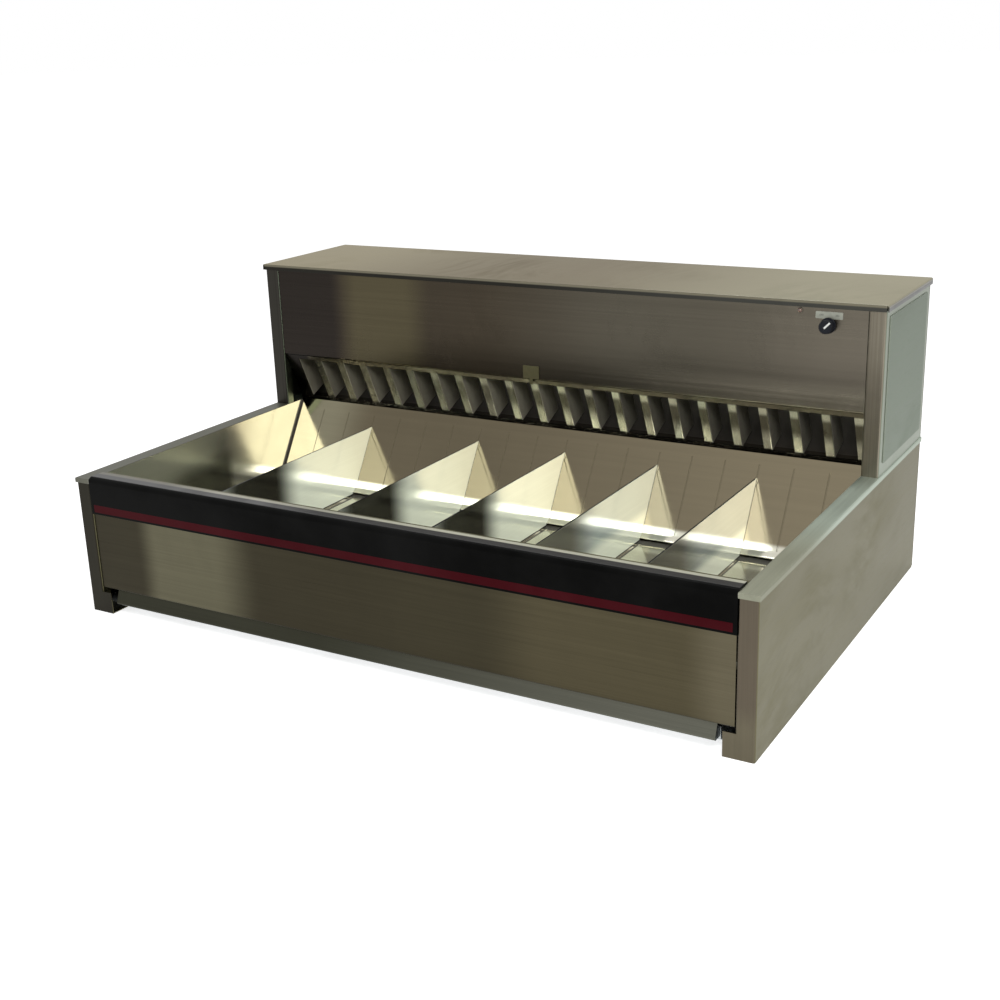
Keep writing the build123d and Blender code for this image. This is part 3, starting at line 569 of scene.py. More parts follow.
# Painted shade: darker than END_STEEL for the reflection on the right-hand panels; the front wall's flange
# and the louvre catch wear it too.
SIDE_STEEL = SheetSteel(
    "side_steel", (0.129, 0.119, 0.066), (0.119, 0.11, 0.06), grain=Grain.ALONG_Y, roughness=0.4,
    patch_scale=3.4,
)
BACK_STEEL = SheetSteel(
    "back_steel", (0.27, 0.258, 0.205), (0.225, 0.214, 0.168), roughness=0.34, patch_scale=2.4,
)
END_STEEL = SheetSteel(
    "end_steel", (0.235, 0.226, 0.184), (0.195, 0.187, 0.151), grain=Grain.ALONG_Y,
    roughness=0.38,
)
# Painted reflection and shade on the end panels' front faces: lighter near the floor, dark on the left end.
STILE_STEEL = SheetSteel(
    "stile_steel", (0.098, 0.082, 0.06), (0.082, 0.069, 0.05), grain=Grain.ALONG_Z,
    roughness=0.35,
    painted_light=(
        PaintedLightZone((0.118, 0.104, 0.072), z=until(0.035, 0.075)),
        PaintedLightZone((0.023, 0.021, 0.015), x=until(-0.2, 0.2)),
    ),
)
UPPER_STEEL = SheetSteel(
    "upper_steel", (0.215, 0.25, 0.19), (0.185, 0.212, 0.16), grain=Grain.ALONG_Z, roughness=0.38,
)
# Painted shade: the posts' front faces are dark on the left-hand side.
POST_STEEL = SheetSteel(
    "post_steel", (0.255, 0.235, 0.185), (0.165, 0.147, 0.113), grain=Grain.ALONG_Z,
    roughness=0.32, lines=0.22,
    painted_light=(PaintedLightZone((0.034, 0.032, 0.027), x=until(-0.2, 0.2)),),
)
# Painted highlight: the side covers' edge faces are much lighter than the covers.
COVER_EDGE_HIGHLIGHT = SheetSteel(
    "cover_edge_highlight", (0.36, 0.4, 0.33), (0.32, 0.355, 0.29), metallic=0.2, roughness=0.45,
)
COVER_STEEL = SheetSteel(
    "cover_steel", (0.127, 0.16, 0.115), (0.114, 0.143, 0.1), grain=Grain.ALONG_Y, roughness=0.38,
)
# Painted reflections: the lid's top is lighter at the left and towards the right.
LID_STEEL = SheetSteel(
    "lid_steel", (0.165, 0.145, 0.114), (0.149, 0.131, 0.103), edge_tint=(0.76, 0.71, 0.6),
    roughness=0.34, patch_scale=2.4,
    painted_light=(
        PaintedLightZone((0.284, 0.262, 0.196), x=until(-0.45, -0.12)),
        PaintedLightZone((0.322, 0.32, 0.256), x=beyond(0.00, 0.4)),
    ),
)
# Painted shade on the lid's sides, far darker than its top, with a lighter painted reflection to the right
# and a painted highlight along the top edge.
LID_LIP_SHADE_AND_HIGHLIGHT = SheetSteel(
    "lid_lip_shade_and_highlight", (0.026, 0.025, 0.021), (0.02, 0.019, 0.016), roughness=0.3,
    painted_light=(
        PaintedLightZone((0.048, 0.048, 0.042), x=beyond(-0.1, 0.4)),
        PaintedLightZone((0.15, 0.138, 0.1), z=beyond(0.4315, 0.4335)),
    ),
)
# Painted shade: the rims are darker towards the front and on the left end.
RIM_STEEL = SheetSteel(
    "rim_steel", (0.39, 0.44, 0.375), (0.335, 0.378, 0.318), grain=Grain.ALONG_Y, roughness=0.5,
    painted_light=(
        PaintedLightZone((0.245, 0.25, 0.19), y=until(-0.22, -0.05)),
        PaintedLightZone((0.125, 0.125, 0.1), x=until(-0.2, 0.2)),
    ),
)
# Painted reflections make the rear slope lighter at the left and towards the right, a painted highlight lies
# along its bottom bend, and painted shadow lines run at both ends.
SLOPE_STEEL = BrightSteel(
    "slope_steel", (0.142, 0.119, 0.078), (0.12, 0.101, 0.066), roughness=0.11, lines=0.05,
    line_depth=0.4e-6, waviness=0.04 * MM, metallic=1.0,
    painted_light=(
        PaintedLightZone((0.215, 0.198, 0.135), x=until(-0.42, -0.33)),
        PaintedLightZone((0.21, 0.178, 0.118), x=beyond(-0.15, 0.45)),
        PaintedLightZone((0.64, 0.62, 0.52), z=until(0.0925, 0.0985)),
        PaintedLightZone((0.008, 0.007, 0.006), x=until(-0.4805, -0.4795)),
        PaintedLightZone((0.008, 0.007, 0.006), x=beyond(0.4795, 0.4805)),
    ),
)
# Painted shade: the flanks of the divider grooves are darker than the sheet around them.
GROOVE_SHADE = SheetSteel("groove_shade", (0.11, 0.096, 0.062), (0.085, 0.073, 0.047), roughness=0.5)
# Painted reflection on the left end's inner wall: darker towards the front, with a dark patch low down.
WALL_STEEL = BrightSteel(
    "wall_steel", (0.51, 0.5, 0.43), (0.46, 0.45, 0.39), grain=Grain.ALONG_Y, roughness=0.14,
    painted_light=(
        PaintedLightZone((0.4, 0.392, 0.335), x=until(-0.47, -0.46), y=until(-0.06, -0.035)),
        PaintedLightZone(
            (0.11, 0.108, 0.085),
            x=until(-0.47, -0.46),
            y=(-0.22, -0.13, -0.055, -0.03),
            z=until(0.14, 0.18),
        ),
    ),
)
FLOOR_STEEL = BrightSteel(
    "floor_steel", (0.86, 0.845, 0.72), (0.8, 0.785, 0.66), roughness=0.1, line_depth=0.1e-6,
)
# Painted reflections on the dividers' right-hand faces: darker upper parts on the right-hand dividers and
# dark patches towards the front, with a painted shadow line along the foot.
DIVIDER_STEEL = BrightSteel(
    "divider_sheet", (0.94, 1.000, 0.88), (0.89, 0.95, 0.83), metallic=0.26, grain=Grain.ALONG_Y,
    roughness=0.12, roughness_spread=0.06, waviness=0.04 * MM,
    painted_light=(
        PaintedLightZone((0.5, 0.57, 0.55), x=beyond(0.06, 0.17), z=beyond(0.105, 0.125)),
        PaintedLightZone((0.41, 0.46, 0.43), x=beyond(0.22, 0.31), z=beyond(0.105, 0.125)),
        PaintedLightZone((0.018, 0.017, 0.012), x=until(0.06, 0.15), y=(-0.3, -0.2, -0.12, -0.06)),
        PaintedLightZone((0.15, 0.15, 0.12), x=beyond(0.06, 0.15), y=(-0.34, -0.24, -0.15, -0.06)),
        PaintedLightZone((0.01, 0.01, 0.014), z=until(0.0785, 0.079)),
    ),
)
# The dividers' left-hand faces keep the sheet's tone without painted light.
DIVIDER_LEFT_STEEL = replace(DIVIDER_STEEL, name="divider_left_sheet", painted_light=())
# Painted shade: the dividers' rolled top edges are far darker than their faces, darkest towards the front.
EDGE_STEEL = SheetSteel(
    "edge_steel", (0.15, 0.13, 0.09), (0.11, 0.094, 0.064), roughness=0.45,
    painted_light=(PaintedLightZone((0.016, 0.017, 0.026), y=until(-0.13, -0.06)),),
)
# Painted reflections on the band's top flange: lighter to the right and darker at the left, with a painted
# shadow line along its front edge.
FLANGE_STEEL = SheetSteel(
    "flange_steel", (0.33, 0.32, 0.25), (0.27, 0.262, 0.205), metallic=0.3, roughness=0.35,
    painted_light=(
        PaintedLightZone((0.47, 0.47, 0.37), x=beyond(-0.25, 0.1)),
        PaintedLightZone((0.105, 0.098, 0.072), x=until(-0.38, -0.22)),
        PaintedLightZone((0.022, 0.021, 0.02), y=until(-0.3225, -0.3205)),
    ),
)
TRAY_STEEL = SheetSteel("tray_sheet", (0.3, 0.325, 0.31), (0.2, 0.21, 0.19), roughness=0.3)
# Painted shade: the crumb tray's front is far darker than its sheet, with a lighter painted reflection
# towards the right.
TRAY_LIP_STEEL = SheetSteel(
    "tray_lip_steel", (0.044, 0.044, 0.031), (0.036, 0.036, 0.025), roughness=0.34,
    painted_light=(PaintedLightZone((0.115, 0.115, 0.092), x=beyond(-0.15, 0.46)),),
)
# Painted light on the louvre: highlights low and high on the lands, a top strip toned like the housing's
# reflection, painted shade over the left end and the left border, and a painted shadow along the bottom
# strip.
LOUVRE_STEEL = SheetSteel(
    "louvre_sheet", (0.105, 0.097, 0.074), (0.075, 0.068, 0.05), grain=Grain.ALONG_Z,
    roughness=0.22, lines=0.1,
    painted_light=(
        PaintedLightZone((0.42, 0.405, 0.33), z=until(0.226, 0.25)),
        PaintedLightZone((0.4, 0.388, 0.315), z=beyond(0.266, 0.274)),
        PaintedLightZone((0.11, 0.105, 0.083), x=until(-0.28, 0.05)),
        PaintedLightZone((0.105, 0.092, 0.066), z=beyond(0.2795, 0.2815)),
        PaintedLightZone((0.012, 0.01, 0.008), x=until(-0.45, -0.44)),
        PaintedLightZone((0.008, 0.007, 0.006), z=until(0.213, 0.216)),
    ),
)
# Painted shade: the vanes are darker towards the right.
VANE_STEEL = SheetSteel(
    "vane_steel", (0.42, 0.395, 0.31), (0.26, 0.24, 0.185), metallic=0.35, grain=Grain.ALONG_Z,
    roughness=0.4,
    painted_light=(PaintedLightZone((0.2, 0.188, 0.15), x=beyond(-0.1, 0.15)),),
)
# Painted shade: a near-black tone so that the inside of the housing reads as shade.
DUCT_STEEL = Coated("duct_steel", (0.055, 0.05, 0.042), metallic=0.6, roughness=0.5, patch_scale=20.0)
GALVANISED = Coated(
    "galvanised", (0.42, 0.44, 0.45), metallic=0.9, roughness=0.42, variation=0.25, patch_scale=26.0,
)
BLACK_FILM = Coated("black_film", (0.0016, 0.0016, 0.0014), roughness=0.32, variation=0.2, specular=0.03)
RED_FILM = Coated("red_film", (0.049, 0.0027, 0.0054), roughness=0.32, variation=0.1, specular=0.03)
MOTOR_ENAMEL = Coated("motor_enamel", (0.035, 0.04, 0.045), roughness=0.45, texture_depth=2e-5)
GROUND_STEEL = SheetSteel("ground_steel", (0.52, 0.52, 0.5), (0.42, 0.42, 0.4), grain=Grain.ALONG_Y)
WHEEL_ALUMINIUM = Coated("pressed_aluminium", (0.62, 0.63, 0.64), metallic=1.0, roughness=0.35)
HEATER_SHEATH = Coated(
    "oxidised_sheath", (0.085, 0.07, 0.058), metallic=0.7, roughness=0.5, patch_scale=40.0,
)
BLACK_PHENOLIC = Coated(
    "black_phenolic", (0.005, 0.006, 0.01), roughness=0.42, texture_depth=3e-6, specular=0.18,
)
WHITE_FILL = Coated("white_fill", (0.72, 0.73, 0.7), roughness=0.45)
THERMOSET = Coated("thermoset", (0.045, 0.043, 0.04), roughness=0.55, texture_depth=2e-5)
PLATE_ALUMINIUM = Coated(
    "plate_aluminium", (0.31, 0.32, 0.27), metallic=0.5, roughness=0.38, patch_scale=60.0,
)
PLATE_INK = Coated("plate_ink", (0.045, 0.045, 0.045), roughness=0.5)
BRIGHT_PLATING = Coated(
    "bright_plating", (0.66, 0.66, 0.64), metallic=1.0, roughness=0.14, texture_depth=2e-6,
)
BEZEL_PLATING = Coated(
    "bezel_plating", (0.13, 0.115, 0.092), metallic=1.0, roughness=0.25, texture_depth=2e-6,
)
SCREW_STEEL = Coated("plated_screw", (0.5, 0.5, 0.47), metallic=1.0, roughness=0.26, patch_scale=90.0)
BLACK_NYLON = Coated("black_nylon", (0.02, 0.02, 0.021), roughness=0.5, texture_depth=2e-5)
PILOT_RED = Lens("pilot_red", (0.17, 0.1, 0.075), light=(0.24, 0.155, 0.12))


# ---------------------------------------------------------------- modelling
def extrude(distance: float) -> Step:
    """A step that pulls the selected faces out along their normal."""
    pull = {"value": distance, "use_even_offset": True}
    return lambda: bpy.ops.mesh.extrude_region_shrink_fatten(TRANSFORM_OT_shrink_fatten=pull)


def inset(width: float) -> Step:
    """A step that insets the selected faces."""
    return lambda: bpy.ops.mesh.inset(thickness=width, use_even_offset=True)


def resize(factor: Sequence[float], centre: Sequence[float] = (0, 0, 0)) -> Step:
    """A step that scales what is selected about a point."""
    return lambda: bpy.ops.transform.resize(value=factor, center_override=centre)


class Model:
    """A piece that Blender's own operators shape."""

    def __init__(self, piece: Piece, name: str) -> None:
        """Takes up an object and names it."""
        self.piece = piece
        self.piece.name = name

    @classmethod
    def start(cls, name: str, primitive: Callable, **settings: object) -> "Model":
        """Starts a piece from one of Blender's primitives.

        Args:
            name: The piece's name.
            primitive: The operator that adds the primitive.
            **settings: Its size and place.

        Returns:
            The piece.
        """
        bpy.ops.object.select_all(action="DESELECT")
        primitive(**settings)
        made = cls(bpy.context.object, name)
        made.settle()
        return made

    @classmethod
    def cylinder(cls, name: str, radius: float, low: float, high: float, sides: int = 48) -> "Model":
        """Starts a piece from a cylinder on the Z axis between two heights."""
        size = {"radius": radius, "depth": high - low, "location": (0, 0, (low + high) / 2)}
        return cls.start(name, bpy.ops.mesh.primitive_cylinder_add, vertices=sides, **size)

    @classmethod
    def block(cls, name: str, low: Vector, high: Vector) -> "Model":
        """Starts a piece from a box between two corners."""
        size = {"size": 1.0, "scale": high - low, "location": (low + high) / 2}
        return cls.start(name, bpy.ops.mesh.primitive_cube_add, **size)

    @classmethod
    def copy_of(cls, piece: Piece, name: str) -> "Model":
        """Starts a piece from a copy of another and of its mesh.

        Args:
            piece: The other piece.
            name: The copy's name.

        Returns:
            The copy.
        """
        made = piece.copy()
        made.data = piece.data.copy()
        bpy.context.scene.collection.objects.link(made)
        return cls(made, name)

    def take(self) -> None:
        """Selects this piece alone and makes it the active one."""
        bpy.ops.object.select_all(action="DESELECT")
        self.piece.select_set(True)
        bpy.context.view_layer.objects.active = self.piece

    def settle(self) -> None:
        """Moves the object's place, turn and size into its mesh."""
        self.take()
        bpy.ops.object.transform_apply(location=True, rotation=True, scale=True)

    def faces(self, wanted: Test, *steps: Step) -> None:
        """Selects faces in code and runs edit-mode steps on them.

        Args:
            wanted: Takes a polygon and says whether it is selected.
            *steps: Edit-mode operator calls, run in order.
        """
        self.take()
        bpy.ops.object.mode_set(mode="EDIT")
        bpy.ops.mesh.select_mode(type="FACE")
        bpy.ops.mesh.select_all(action="DESELECT")
        bpy.ops.object.mode_set(mode="OBJECT")
        for polygon in self.piece.data.polygons:
            polygon.select = wanted(polygon)
        bpy.ops.object.mode_set(mode="EDIT")
        for step in steps:
            step()
        bpy.ops.object.mode_set(mode="OBJECT")

    def dome(self, area: float, rises: Rises) -> None:
        """Raises and narrows the top, an upward face over an area, in steps to a dome."""
        for rise, share in rises:
            self.faces(top_over(area, 0.95), extrude(rise), resize((share, share, 1)))

    def modify(self, kind: str, **settings: object) -> None:
        """Adds a modifier and applies it.

        Args:
            kind: Blender's name for the modifier's type.
            **settings: Its properties.
        """
        self.take()
        modifier = self.piece.modifiers.new(kind.lower(), kind)
        for name, value in settings.items():
            setattr(modifier, name, value)
        bpy.ops.object.modifier_apply(modifier=modifier.name)

    def soften(self, width: float, segments: int = 2, angle: float = 30.0) -> None:
        """Rounds the sharp edges and keeps the flat faces flat to the eye.

        Args:
            width: Width of each rounded edge.
            segments: Faces across it.
            angle: Edges sharper than this are rounded, in degrees.
        """
        limit = {"limit_method": "ANGLE", "angle_limit": math.radians(angle)}
        self.modify("BEVEL", width=width, segments=segments, miter_outer="MITER_ARC", **limit)
        bpy.ops.object.shade_smooth()
        self.level()

    def smooth(self, angle: float) -> None:
        """Smooths the shading across edges that turn less than an angle in degrees."""
        self.take()
        bpy.ops.object.shade_smooth_by_angle(angle=math.radians(angle))

    def level(self) -> None:
        """Lets the large flat faces set the shading, so that they look flat beside small ones."""
        self.modify("WEIGHTED_NORMAL", keep_sharp=True, weight=100)

    def cut(self, cutter: "Model") -> None:
        """Cuts another piece out of this one and removes it."""
        self.modify("BOOLEAN", operation="DIFFERENCE", solver="EXACT", object=cutter.piece)
        bpy.data.objects.remove(cutter.piece)

    def join(self, others: Iterable["Model"]) -> None:
        """Takes other pieces into this one.

        Args:
            others: The pieces, which are gone afterwards.
        """
        self.take()
        for other in others:
            other.piece.select_set(True)
        bpy.ops.object.join()

    def face_towards(self, place: Sequence[float], facing: Vector, turn: float = 0.0) -> None:
        """Stands a piece modelled up the Z axis at a place, with that axis towards a direction.

        Args:
            place: Where its origin goes.
            facing: Where its Z axis points.
            turn: Turn about that axis first, in degrees.
        """
        across = RIGHT if facing == UP else UP.cross(facing)
        turned = Matrix((across, facing.cross(across), facing)).transposed().to_4x4()
        spun = turned @ Matrix.Rotation(math.radians(turn), 4, "Z")
        self.piece.matrix_world = Matrix.Translation(Vector(place)) @ spun
        self.settle()

    def finish(self, finish: Finish, *special: tuple[Test, Finish]) -> None:
        """Gives the piece a finish, and other finishes to the faces that pass a test.

        Args:
            finish: The finish.
            *special: Pairs of a test on a polygon and the finish of the faces that pass it.
        """
        slots = self.piece.data.materials
        slots.clear()
        slots.append(finish.material())
        for number, (test, other) in enumerate(special, start=1):
            slots.append(other.material())
            for polygon in filter(test, self.piece.data.polygons):
                polygon.material_index = number


# ---------------------------------------------------------------- tests on faces
def looks(toward: Vector, least: float = 0.7) -> Test:
    """A test for faces that look in a direction, by the cosine between the two."""
    return lambda polygon: polygon.normal.dot(toward) > least


def faces_side(polygon: Polygon) -> bool:
    """Whether a face looks to the left or right."""
    return abs(polygon.normal.x) > 0.7


def outer_left(polygon: Polygon) -> bool:
    """Whether a face is on the outside of the left end."""
    return polygon.normal.x < -0.7 and polygon.center.x < -0.4


def not_side(polygon: Polygon) -> bool:
    """Whether a face looks anywhere but to the left or right."""
    return abs(polygon.normal.x) < 0.9


def not_top(polygon: Polygon) -> bool:
    """Whether a face looks anywhere but up."""
    return polygon.normal.z < 0.5


def in_groove(polygon: Polygon) -> bool:
    """Whether a face is on the flank of a divider's groove."""
    return abs(polygon.normal.x) > 0.03 and abs(polygon.center.x) < 0.47


def on_top_edge(polygon: Polygon) -> bool:
    """Whether a face is on the rolled top edge of a divider."""
    return polygon.normal.z > 0.4 and abs(polygon.normal.x) < 0.5


def every_face(polygon: Polygon) -> bool:
    """Whether there is a face at all."""
    return True


def top_over(area: float, least: float = 0.9) -> Test:
    """A test for upward faces larger than an area."""
    return lambda polygon: polygon.normal.z > least and polygon.area > area


def level_above(height: float) -> Test:
    """A test for level faces above a height."""
    return lambda polygon: polygon.normal.z > 0.98 and polygon.center.z > height


def within(half_width: float, height: float) -> Test:
    """A test for faces between two ends and below a height."""
    return lambda polygon: abs(polygon.center.x) < half_width and polygon.center.z < height


class Workshop:
    """Puts finishes on CAD nodes and hands finished pieces to the frame."""

    def __init__(self, loaded: dict) -> None:
        """Reads which body and slot each node belongs to.
        """
        self.nodes = loaded["nodes"]
        record = loaded["record"]
        self.slots = {part["node"]: part["material_slot"] for part in record["subparts"]}
        bodies = record["behaviour"]["bodies"]
        self.bodies = {node: body for body, members in bodies.items() for node in members}

    def dress(self, finish: Finish, *nodes: str) -> None:
        """Puts a finish on CAD nodes as they are.

        Args:
            finish: The finish.
            *nodes: The nodes.
        """
        for node in nodes:
            for place in self.nodes[node].material_slots:
                place.material = finish.material()
            log.info("dressed %s in %s", node, finish.name)

    def hand_over(self, model: Model, *stands_for: str) -> None:
        """Lets a finished piece stand for CAD nodes.

        Args:
            model: The piece.
            *stands_for: The nodes that it replaces; the first gives its body.
        """
        piece = model.piece
        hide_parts(*stands_for)
        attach(piece, self.bodies[stands_for[0]])
        log.info("%s stands for %s", piece.name, ", ".join(stands_for))

    def attach(self, model: Model, beside: str) -> None:
        """Lets a finished detail ride with the node that carries it.

        Args:
            model: The detail.
            beside: The node.
        """
        piece = model.piece
        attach(piece, self.bodies[beside])
        log.info("%s rides with %s", piece.name, beside)

    def merged(self, node: str, name: str, join_faces: bool = True) -> Model:
        """Copies a CAD node and joins up its triangles.

        Args:
            node: The node.
            name: The copy's name.
            join_faces: Whether triangles that lie flat together become one face.

        Returns:
            The copy.
        """
        model = Model.copy_of(self.nodes[node], name)
        piece = model.piece
        piece.parent = None
        piece.matrix_world = Matrix.Identity(4)
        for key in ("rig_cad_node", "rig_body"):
            if key in piece:
                del piece[key]
        model.faces(every_face, lambda: bpy.ops.mesh.remove_doubles(threshold=0.002 * MM))
        if join_faces:
            flat = math.radians(0.2)
            model.faces(every_face, lambda: bpy.ops.mesh.dissolve_limited(angle_limit=flat))
        return model

    def form(self, finish: Finish, nodes: Iterable[str], edge: float, *special: tuple[Test, Finish]) -> None:
        """Replaces nodes with copies whose cut edges are eased.

        Args:
            finish: The finish of all of them.
            nodes: The nodes.
            edge: Width of the eased edges; 0 leaves them as cut.
            *special: Pairs of a test on a polygon and the finish of the faces that pass it.
        """
        for node in nodes:
            model = self.merged(node, f"{node}_sheet", edge > 0)
            if edge > 0:
                model.soften(edge, 2, 40.0)
            else:
                model.smooth(32.0)
                model.level()
            model.finish(finish, *special)
            self.hand_over(model, node)


# ---------------------------------------------------------------- sub-assemblies
def pair(node: str) -> tuple[str, str]:
    """The left and the right one of two nodes."""
    return (f"{node}_left", f"{node}_right")


@dataclass
class SubAssembly:
    """A group of pieces; its kinds below build and dress them in the workshop."""

    shop: Workshop
    edge: float = 0.3 * MM

    def build(self) -> None:
        """Builds and dresses the pieces."""
        raise NotImplementedError

    def form(self, finish: Finish, nodes: Iterable[str], *special: tuple[Test, Finish]) -> None:
        """Forms nodes with this group's eased edges; see Workshop.form."""
        self.shop.form(finish, nodes, self.edge, *special)

    def leave(self, finish: Finish, nodes: Iterable[str], *special: tuple[Test, Finish]) -> None:
        """Forms nodes with their edges as cut; see Workshop.form."""
        self.shop.form(finish, nodes, 0.0, *special)


@dataclass
class Base(SubAssembly):
    """End panels, front and back panels, bottom pan and crumb tray."""

    band_edge: float = 0.4 * MM

    def build(self) -> None:
        """Forms and dresses the base."""
        # The left end's outer faces keep the plain stainless tone; the front faces and the right end wear
        # shaded copies.
        left = (outer_left, END_STEEL)
        self.form(SIDE_STEEL, pair("end_panel"), (looks(FRONT), STILE_STEEL), left)
        self.form(FRONT_STEEL, ("front_panel",))
        self.form(BACK_STEEL, ("back_panel",))
        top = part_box("front_band")[1].z - 0.5 * MM
        self.shop.form(BLACK_FILM, ("front_band",), self.band_edge, (level_above(top), FLANGE_STEEL))
        self.form(TRAY_STEEL, ("crumb_tray",), (looks(FRONT), TRAY_LIP_STEEL))
        self.shop.dress(RED_FILM, "band_stripe")
        self.shop.dress(GALVANISED, "bottom_pan", *pair("tray_runner"))


@dataclass
class Hopper(SubAssembly):
    """The open bins: walls, slope, floor and dividers."""

    edge: float = 0.25 * MM
    rim_cap: float = 2.0 * MM
    dividers: int = 5

    def build(self) -> None:
        """Forms and dresses the hopper."""
        self.form(SLOPE_STEEL, ("hopper_rear_slope",), (in_groove, GROOVE_SHADE))
        flange = (looks(UP), SIDE_STEEL)
        self.form(WALL_STEEL, ("hopper_front_wall",), flange, (in_groove, GROOVE_SHADE))
        self.form(FLOOR_STEEL, ("hopper_floor",))
        dividers = (f"divider_{number}" for number in range(1, self.dividers + 1))
        left = (looks(LEFT), DIVIDER_LEFT_STEEL)
        self.form(DIVIDER_STEEL, dividers, left, (on_top_edge, EDGE_STEEL))
        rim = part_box("hopper_front_wall")[1].z - self.rim_cap
        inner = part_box("hopper_front_wall")[1].x + self.rim_cap
        self.form(RIM_STEEL, pair("hopper_end"), (within(inner, rim), WALL_STEEL))
        self.shop.dress(GALVANISED, "floor_rail_front", "floor_rail_rear")


@dataclass
class Housing(SubAssembly):
    """The heated housing: its shell, louvre and lid."""

    def build(self) -> None:
        """Forms and dresses the housing's shell."""
        # The left side's outer faces keep the plain stainless tone; the front faces, the right side and the
        # cover edges wear painted light.
        left = (outer_left, END_STEEL)
        self.form(UPPER_STEEL, pair("upper_side"), (looks(FRONT), POST_STEEL), left)
        self.form(COVER_STEEL, pair("side_cover"), (not_side, COVER_EDGE_HIGHLIGHT), left)
        self.form(HOUSING_STEEL, ("housing_front",))
        self.form(LID_STEEL, ("lid",), (not_top, LID_LIP_SHADE_AND_HIGHLIGHT))
        self.leave(BACK_STEEL, ("rear_cover",))
        self.leave(LOUVRE_STEEL, ("louvre_panel",), (faces_side, VANE_STEEL))
        self.form(SIDE_STEEL, ("louvre_catch",))
        self.leave(DUCT_STEEL, ("duct_partition", "control_shield"))
        self.leave(GALVANISED, ("electrics_tray",))


@dataclass
class Controls(SubAssembly):
    """Knob, plate, pilot lamp, switch and thermal cut-out.

    A rise is a step's height and the share of its width that a domed top keeps; a word comes with
    its place along the plate.
    """

    sides: int = 72
    flutes: int = 18
    flute_depth: float = 0.90
    flute_from: float = 8.3 * MM
    flute_share: float = 0.2
    skirt: float = 3.0 * MM
    skirt_ledge: float = 1.5 * MM
    crown_inset: float = 1.2 * MM
    crown_height: float = 1.0 * MM
    pointer_growth: tuple[float, float, float] = (1.35, 1.8, 1.35)
    bezel_height: float = 1.4 * MM
    lens_rises: Rises = ((0.55 * MM, 0.875), (0.45 * MM, 0.8), (0.25 * MM, 0.775))
    words: tuple[tuple[str, float], ...] = (("OFF", 0.22), ("ON", 0.80))
    word_height: float = 3.2 * MM

    def build(self) -> None:
        """Models and dresses the controls."""
        self.knob()
        self.pointer()
        self.lamp()
        self.shop.form(PLATE_ALUMINIUM, ("label_plate",), 0.12 * MM)
        self.lettering()
        self.shop.dress(THERMOSET, "rotary_switch", "limit_switch")
        self.shop.dress(GROUND_STEEL, "switch_shaft")
        self.shop.dress(BRIGHT_PLATING, "switch_nut")

    def knob(self) -> None:
        """Models the fluted knob."""
        low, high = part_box("knob")
        radius = (high.x - low.x) / 2
        barrel = high.y - low.y - self.skirt - self.crown_height
        knob = Model.cylinder("fluted_knob", radius, 0.0, self.skirt, self.sides)
        top = top_over(radius * radius)
        knob.faces(top, inset(self.skirt_ledge), extrude(barrel))
        knob.faces(top, inset(self.crown_inset), extrude(self.crown_height))
        self.flute(knob.piece.data.vertices)
        knob.soften(0.35 * MM, 3, 25.0)
        knob.face_towards(((low.x + high.x) / 2, high.y, (low.z + high.z) / 2), FRONT)
        knob.finish(BLACK_PHENOLIC)
        self.shop.hand_over(knob, "knob")

    def flute(self, vertices: Iterable[bpy.types.MeshVertex]) -> None:
        """Draws the knob's wall in at even places round it.

        Args:
            vertices: The knob's, up the Z axis.
        """
        step = 2 * math.pi / self.flutes
        above = self.skirt + 0.5 * MM
        for vertex in vertices:
            outward = math.hypot(vertex.co.x, vertex.co.y)
            place = math.atan2(vertex.co.y, vertex.co.x) / step
            in_flute = abs(place - round(place)) < self.flute_share
            if vertex.co.z > above and outward > self.flute_from and in_flute:
                vertex.co.x *= self.flute_depth
                vertex.co.y *= self.flute_depth

    def pointer(self) -> None:
        """Makes the white pointer stand proud of the knob's face."""
        pointer = self.shop.merged("knob_pointer", "pointer_line")
        inner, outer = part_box("knob_pointer")
        middle = ((inner.x + outer.x) / 2, outer.y, (inner.z + outer.z) / 2)
        pointer.faces(every_face, resize(self.pointer_growth, middle))
        pointer.soften(0.1 * MM)
        pointer.finish(WHITE_FILL)
        self.shop.hand_over(pointer, "knob_pointer")

    def lamp(self) -> None:
        """Models the pilot lamp's bezel and its domed lens."""
        low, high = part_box("pilot_lamp")
        radius = (high.x - low.x) / 2
        body = high.y - low.y - self.bezel_height
        centre = ((low.x + high.x) / 2, low.y + self.bezel_height, (low.z + high.z) / 2)
        bezel = Model.cylinder("lamp_bezel", radius, 0.0, self.bezel_height)
        bezel.faces(top_over(radius * radius), inset(1.3 * MM), extrude(-1.0 * MM))
        bezel.faces(looks(DOWN, 0.9), inset(1.4 * MM), extrude(body))
        bezel.soften(0.3 * MM, 3, 40.0)
        bezel.face_towards(centre, FRONT)
        bezel.finish(BEZEL_PLATING)
        self.shop.hand_over(bezel, "pilot_lamp")
        lens = Model.cylinder("domed_lens", radius - 1.5 * MM, 0.2 * MM, 1.1 * MM, 32)
        lens.dome(1.5 * MM * MM, self.lens_rises)
        lens.smooth(35.0)
        lens.face_towards(centre, FRONT)
        lens.finish(PILOT_RED)
        self.shop.hand_over(lens, "pilot_lens")

    def lettering(self) -> None:
        """Marks the plate with OFF and ON."""
        low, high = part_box("label_plate")
        middle = (low.z + high.z) / 2
        for word, share in self.words:
            bpy.ops.object.select_all(action="DESELECT")
            bpy.ops.object.text_add()
            text = bpy.context.object.data
            text.body = word
            text.size = self.word_height
            text.align_x = text.align_y = "CENTER"
            text.extrude = 0.03 * MM
            bpy.ops.object.convert(target="MESH")
            mark = Model(bpy.context.object, f"mark_{word.lower()}")
            mark.face_towards((low.x + (high.x - low.x) * share, low.y, middle), FRONT)
            mark.finish(PLATE_INK)
            self.shop.attach(mark, "label_plate")


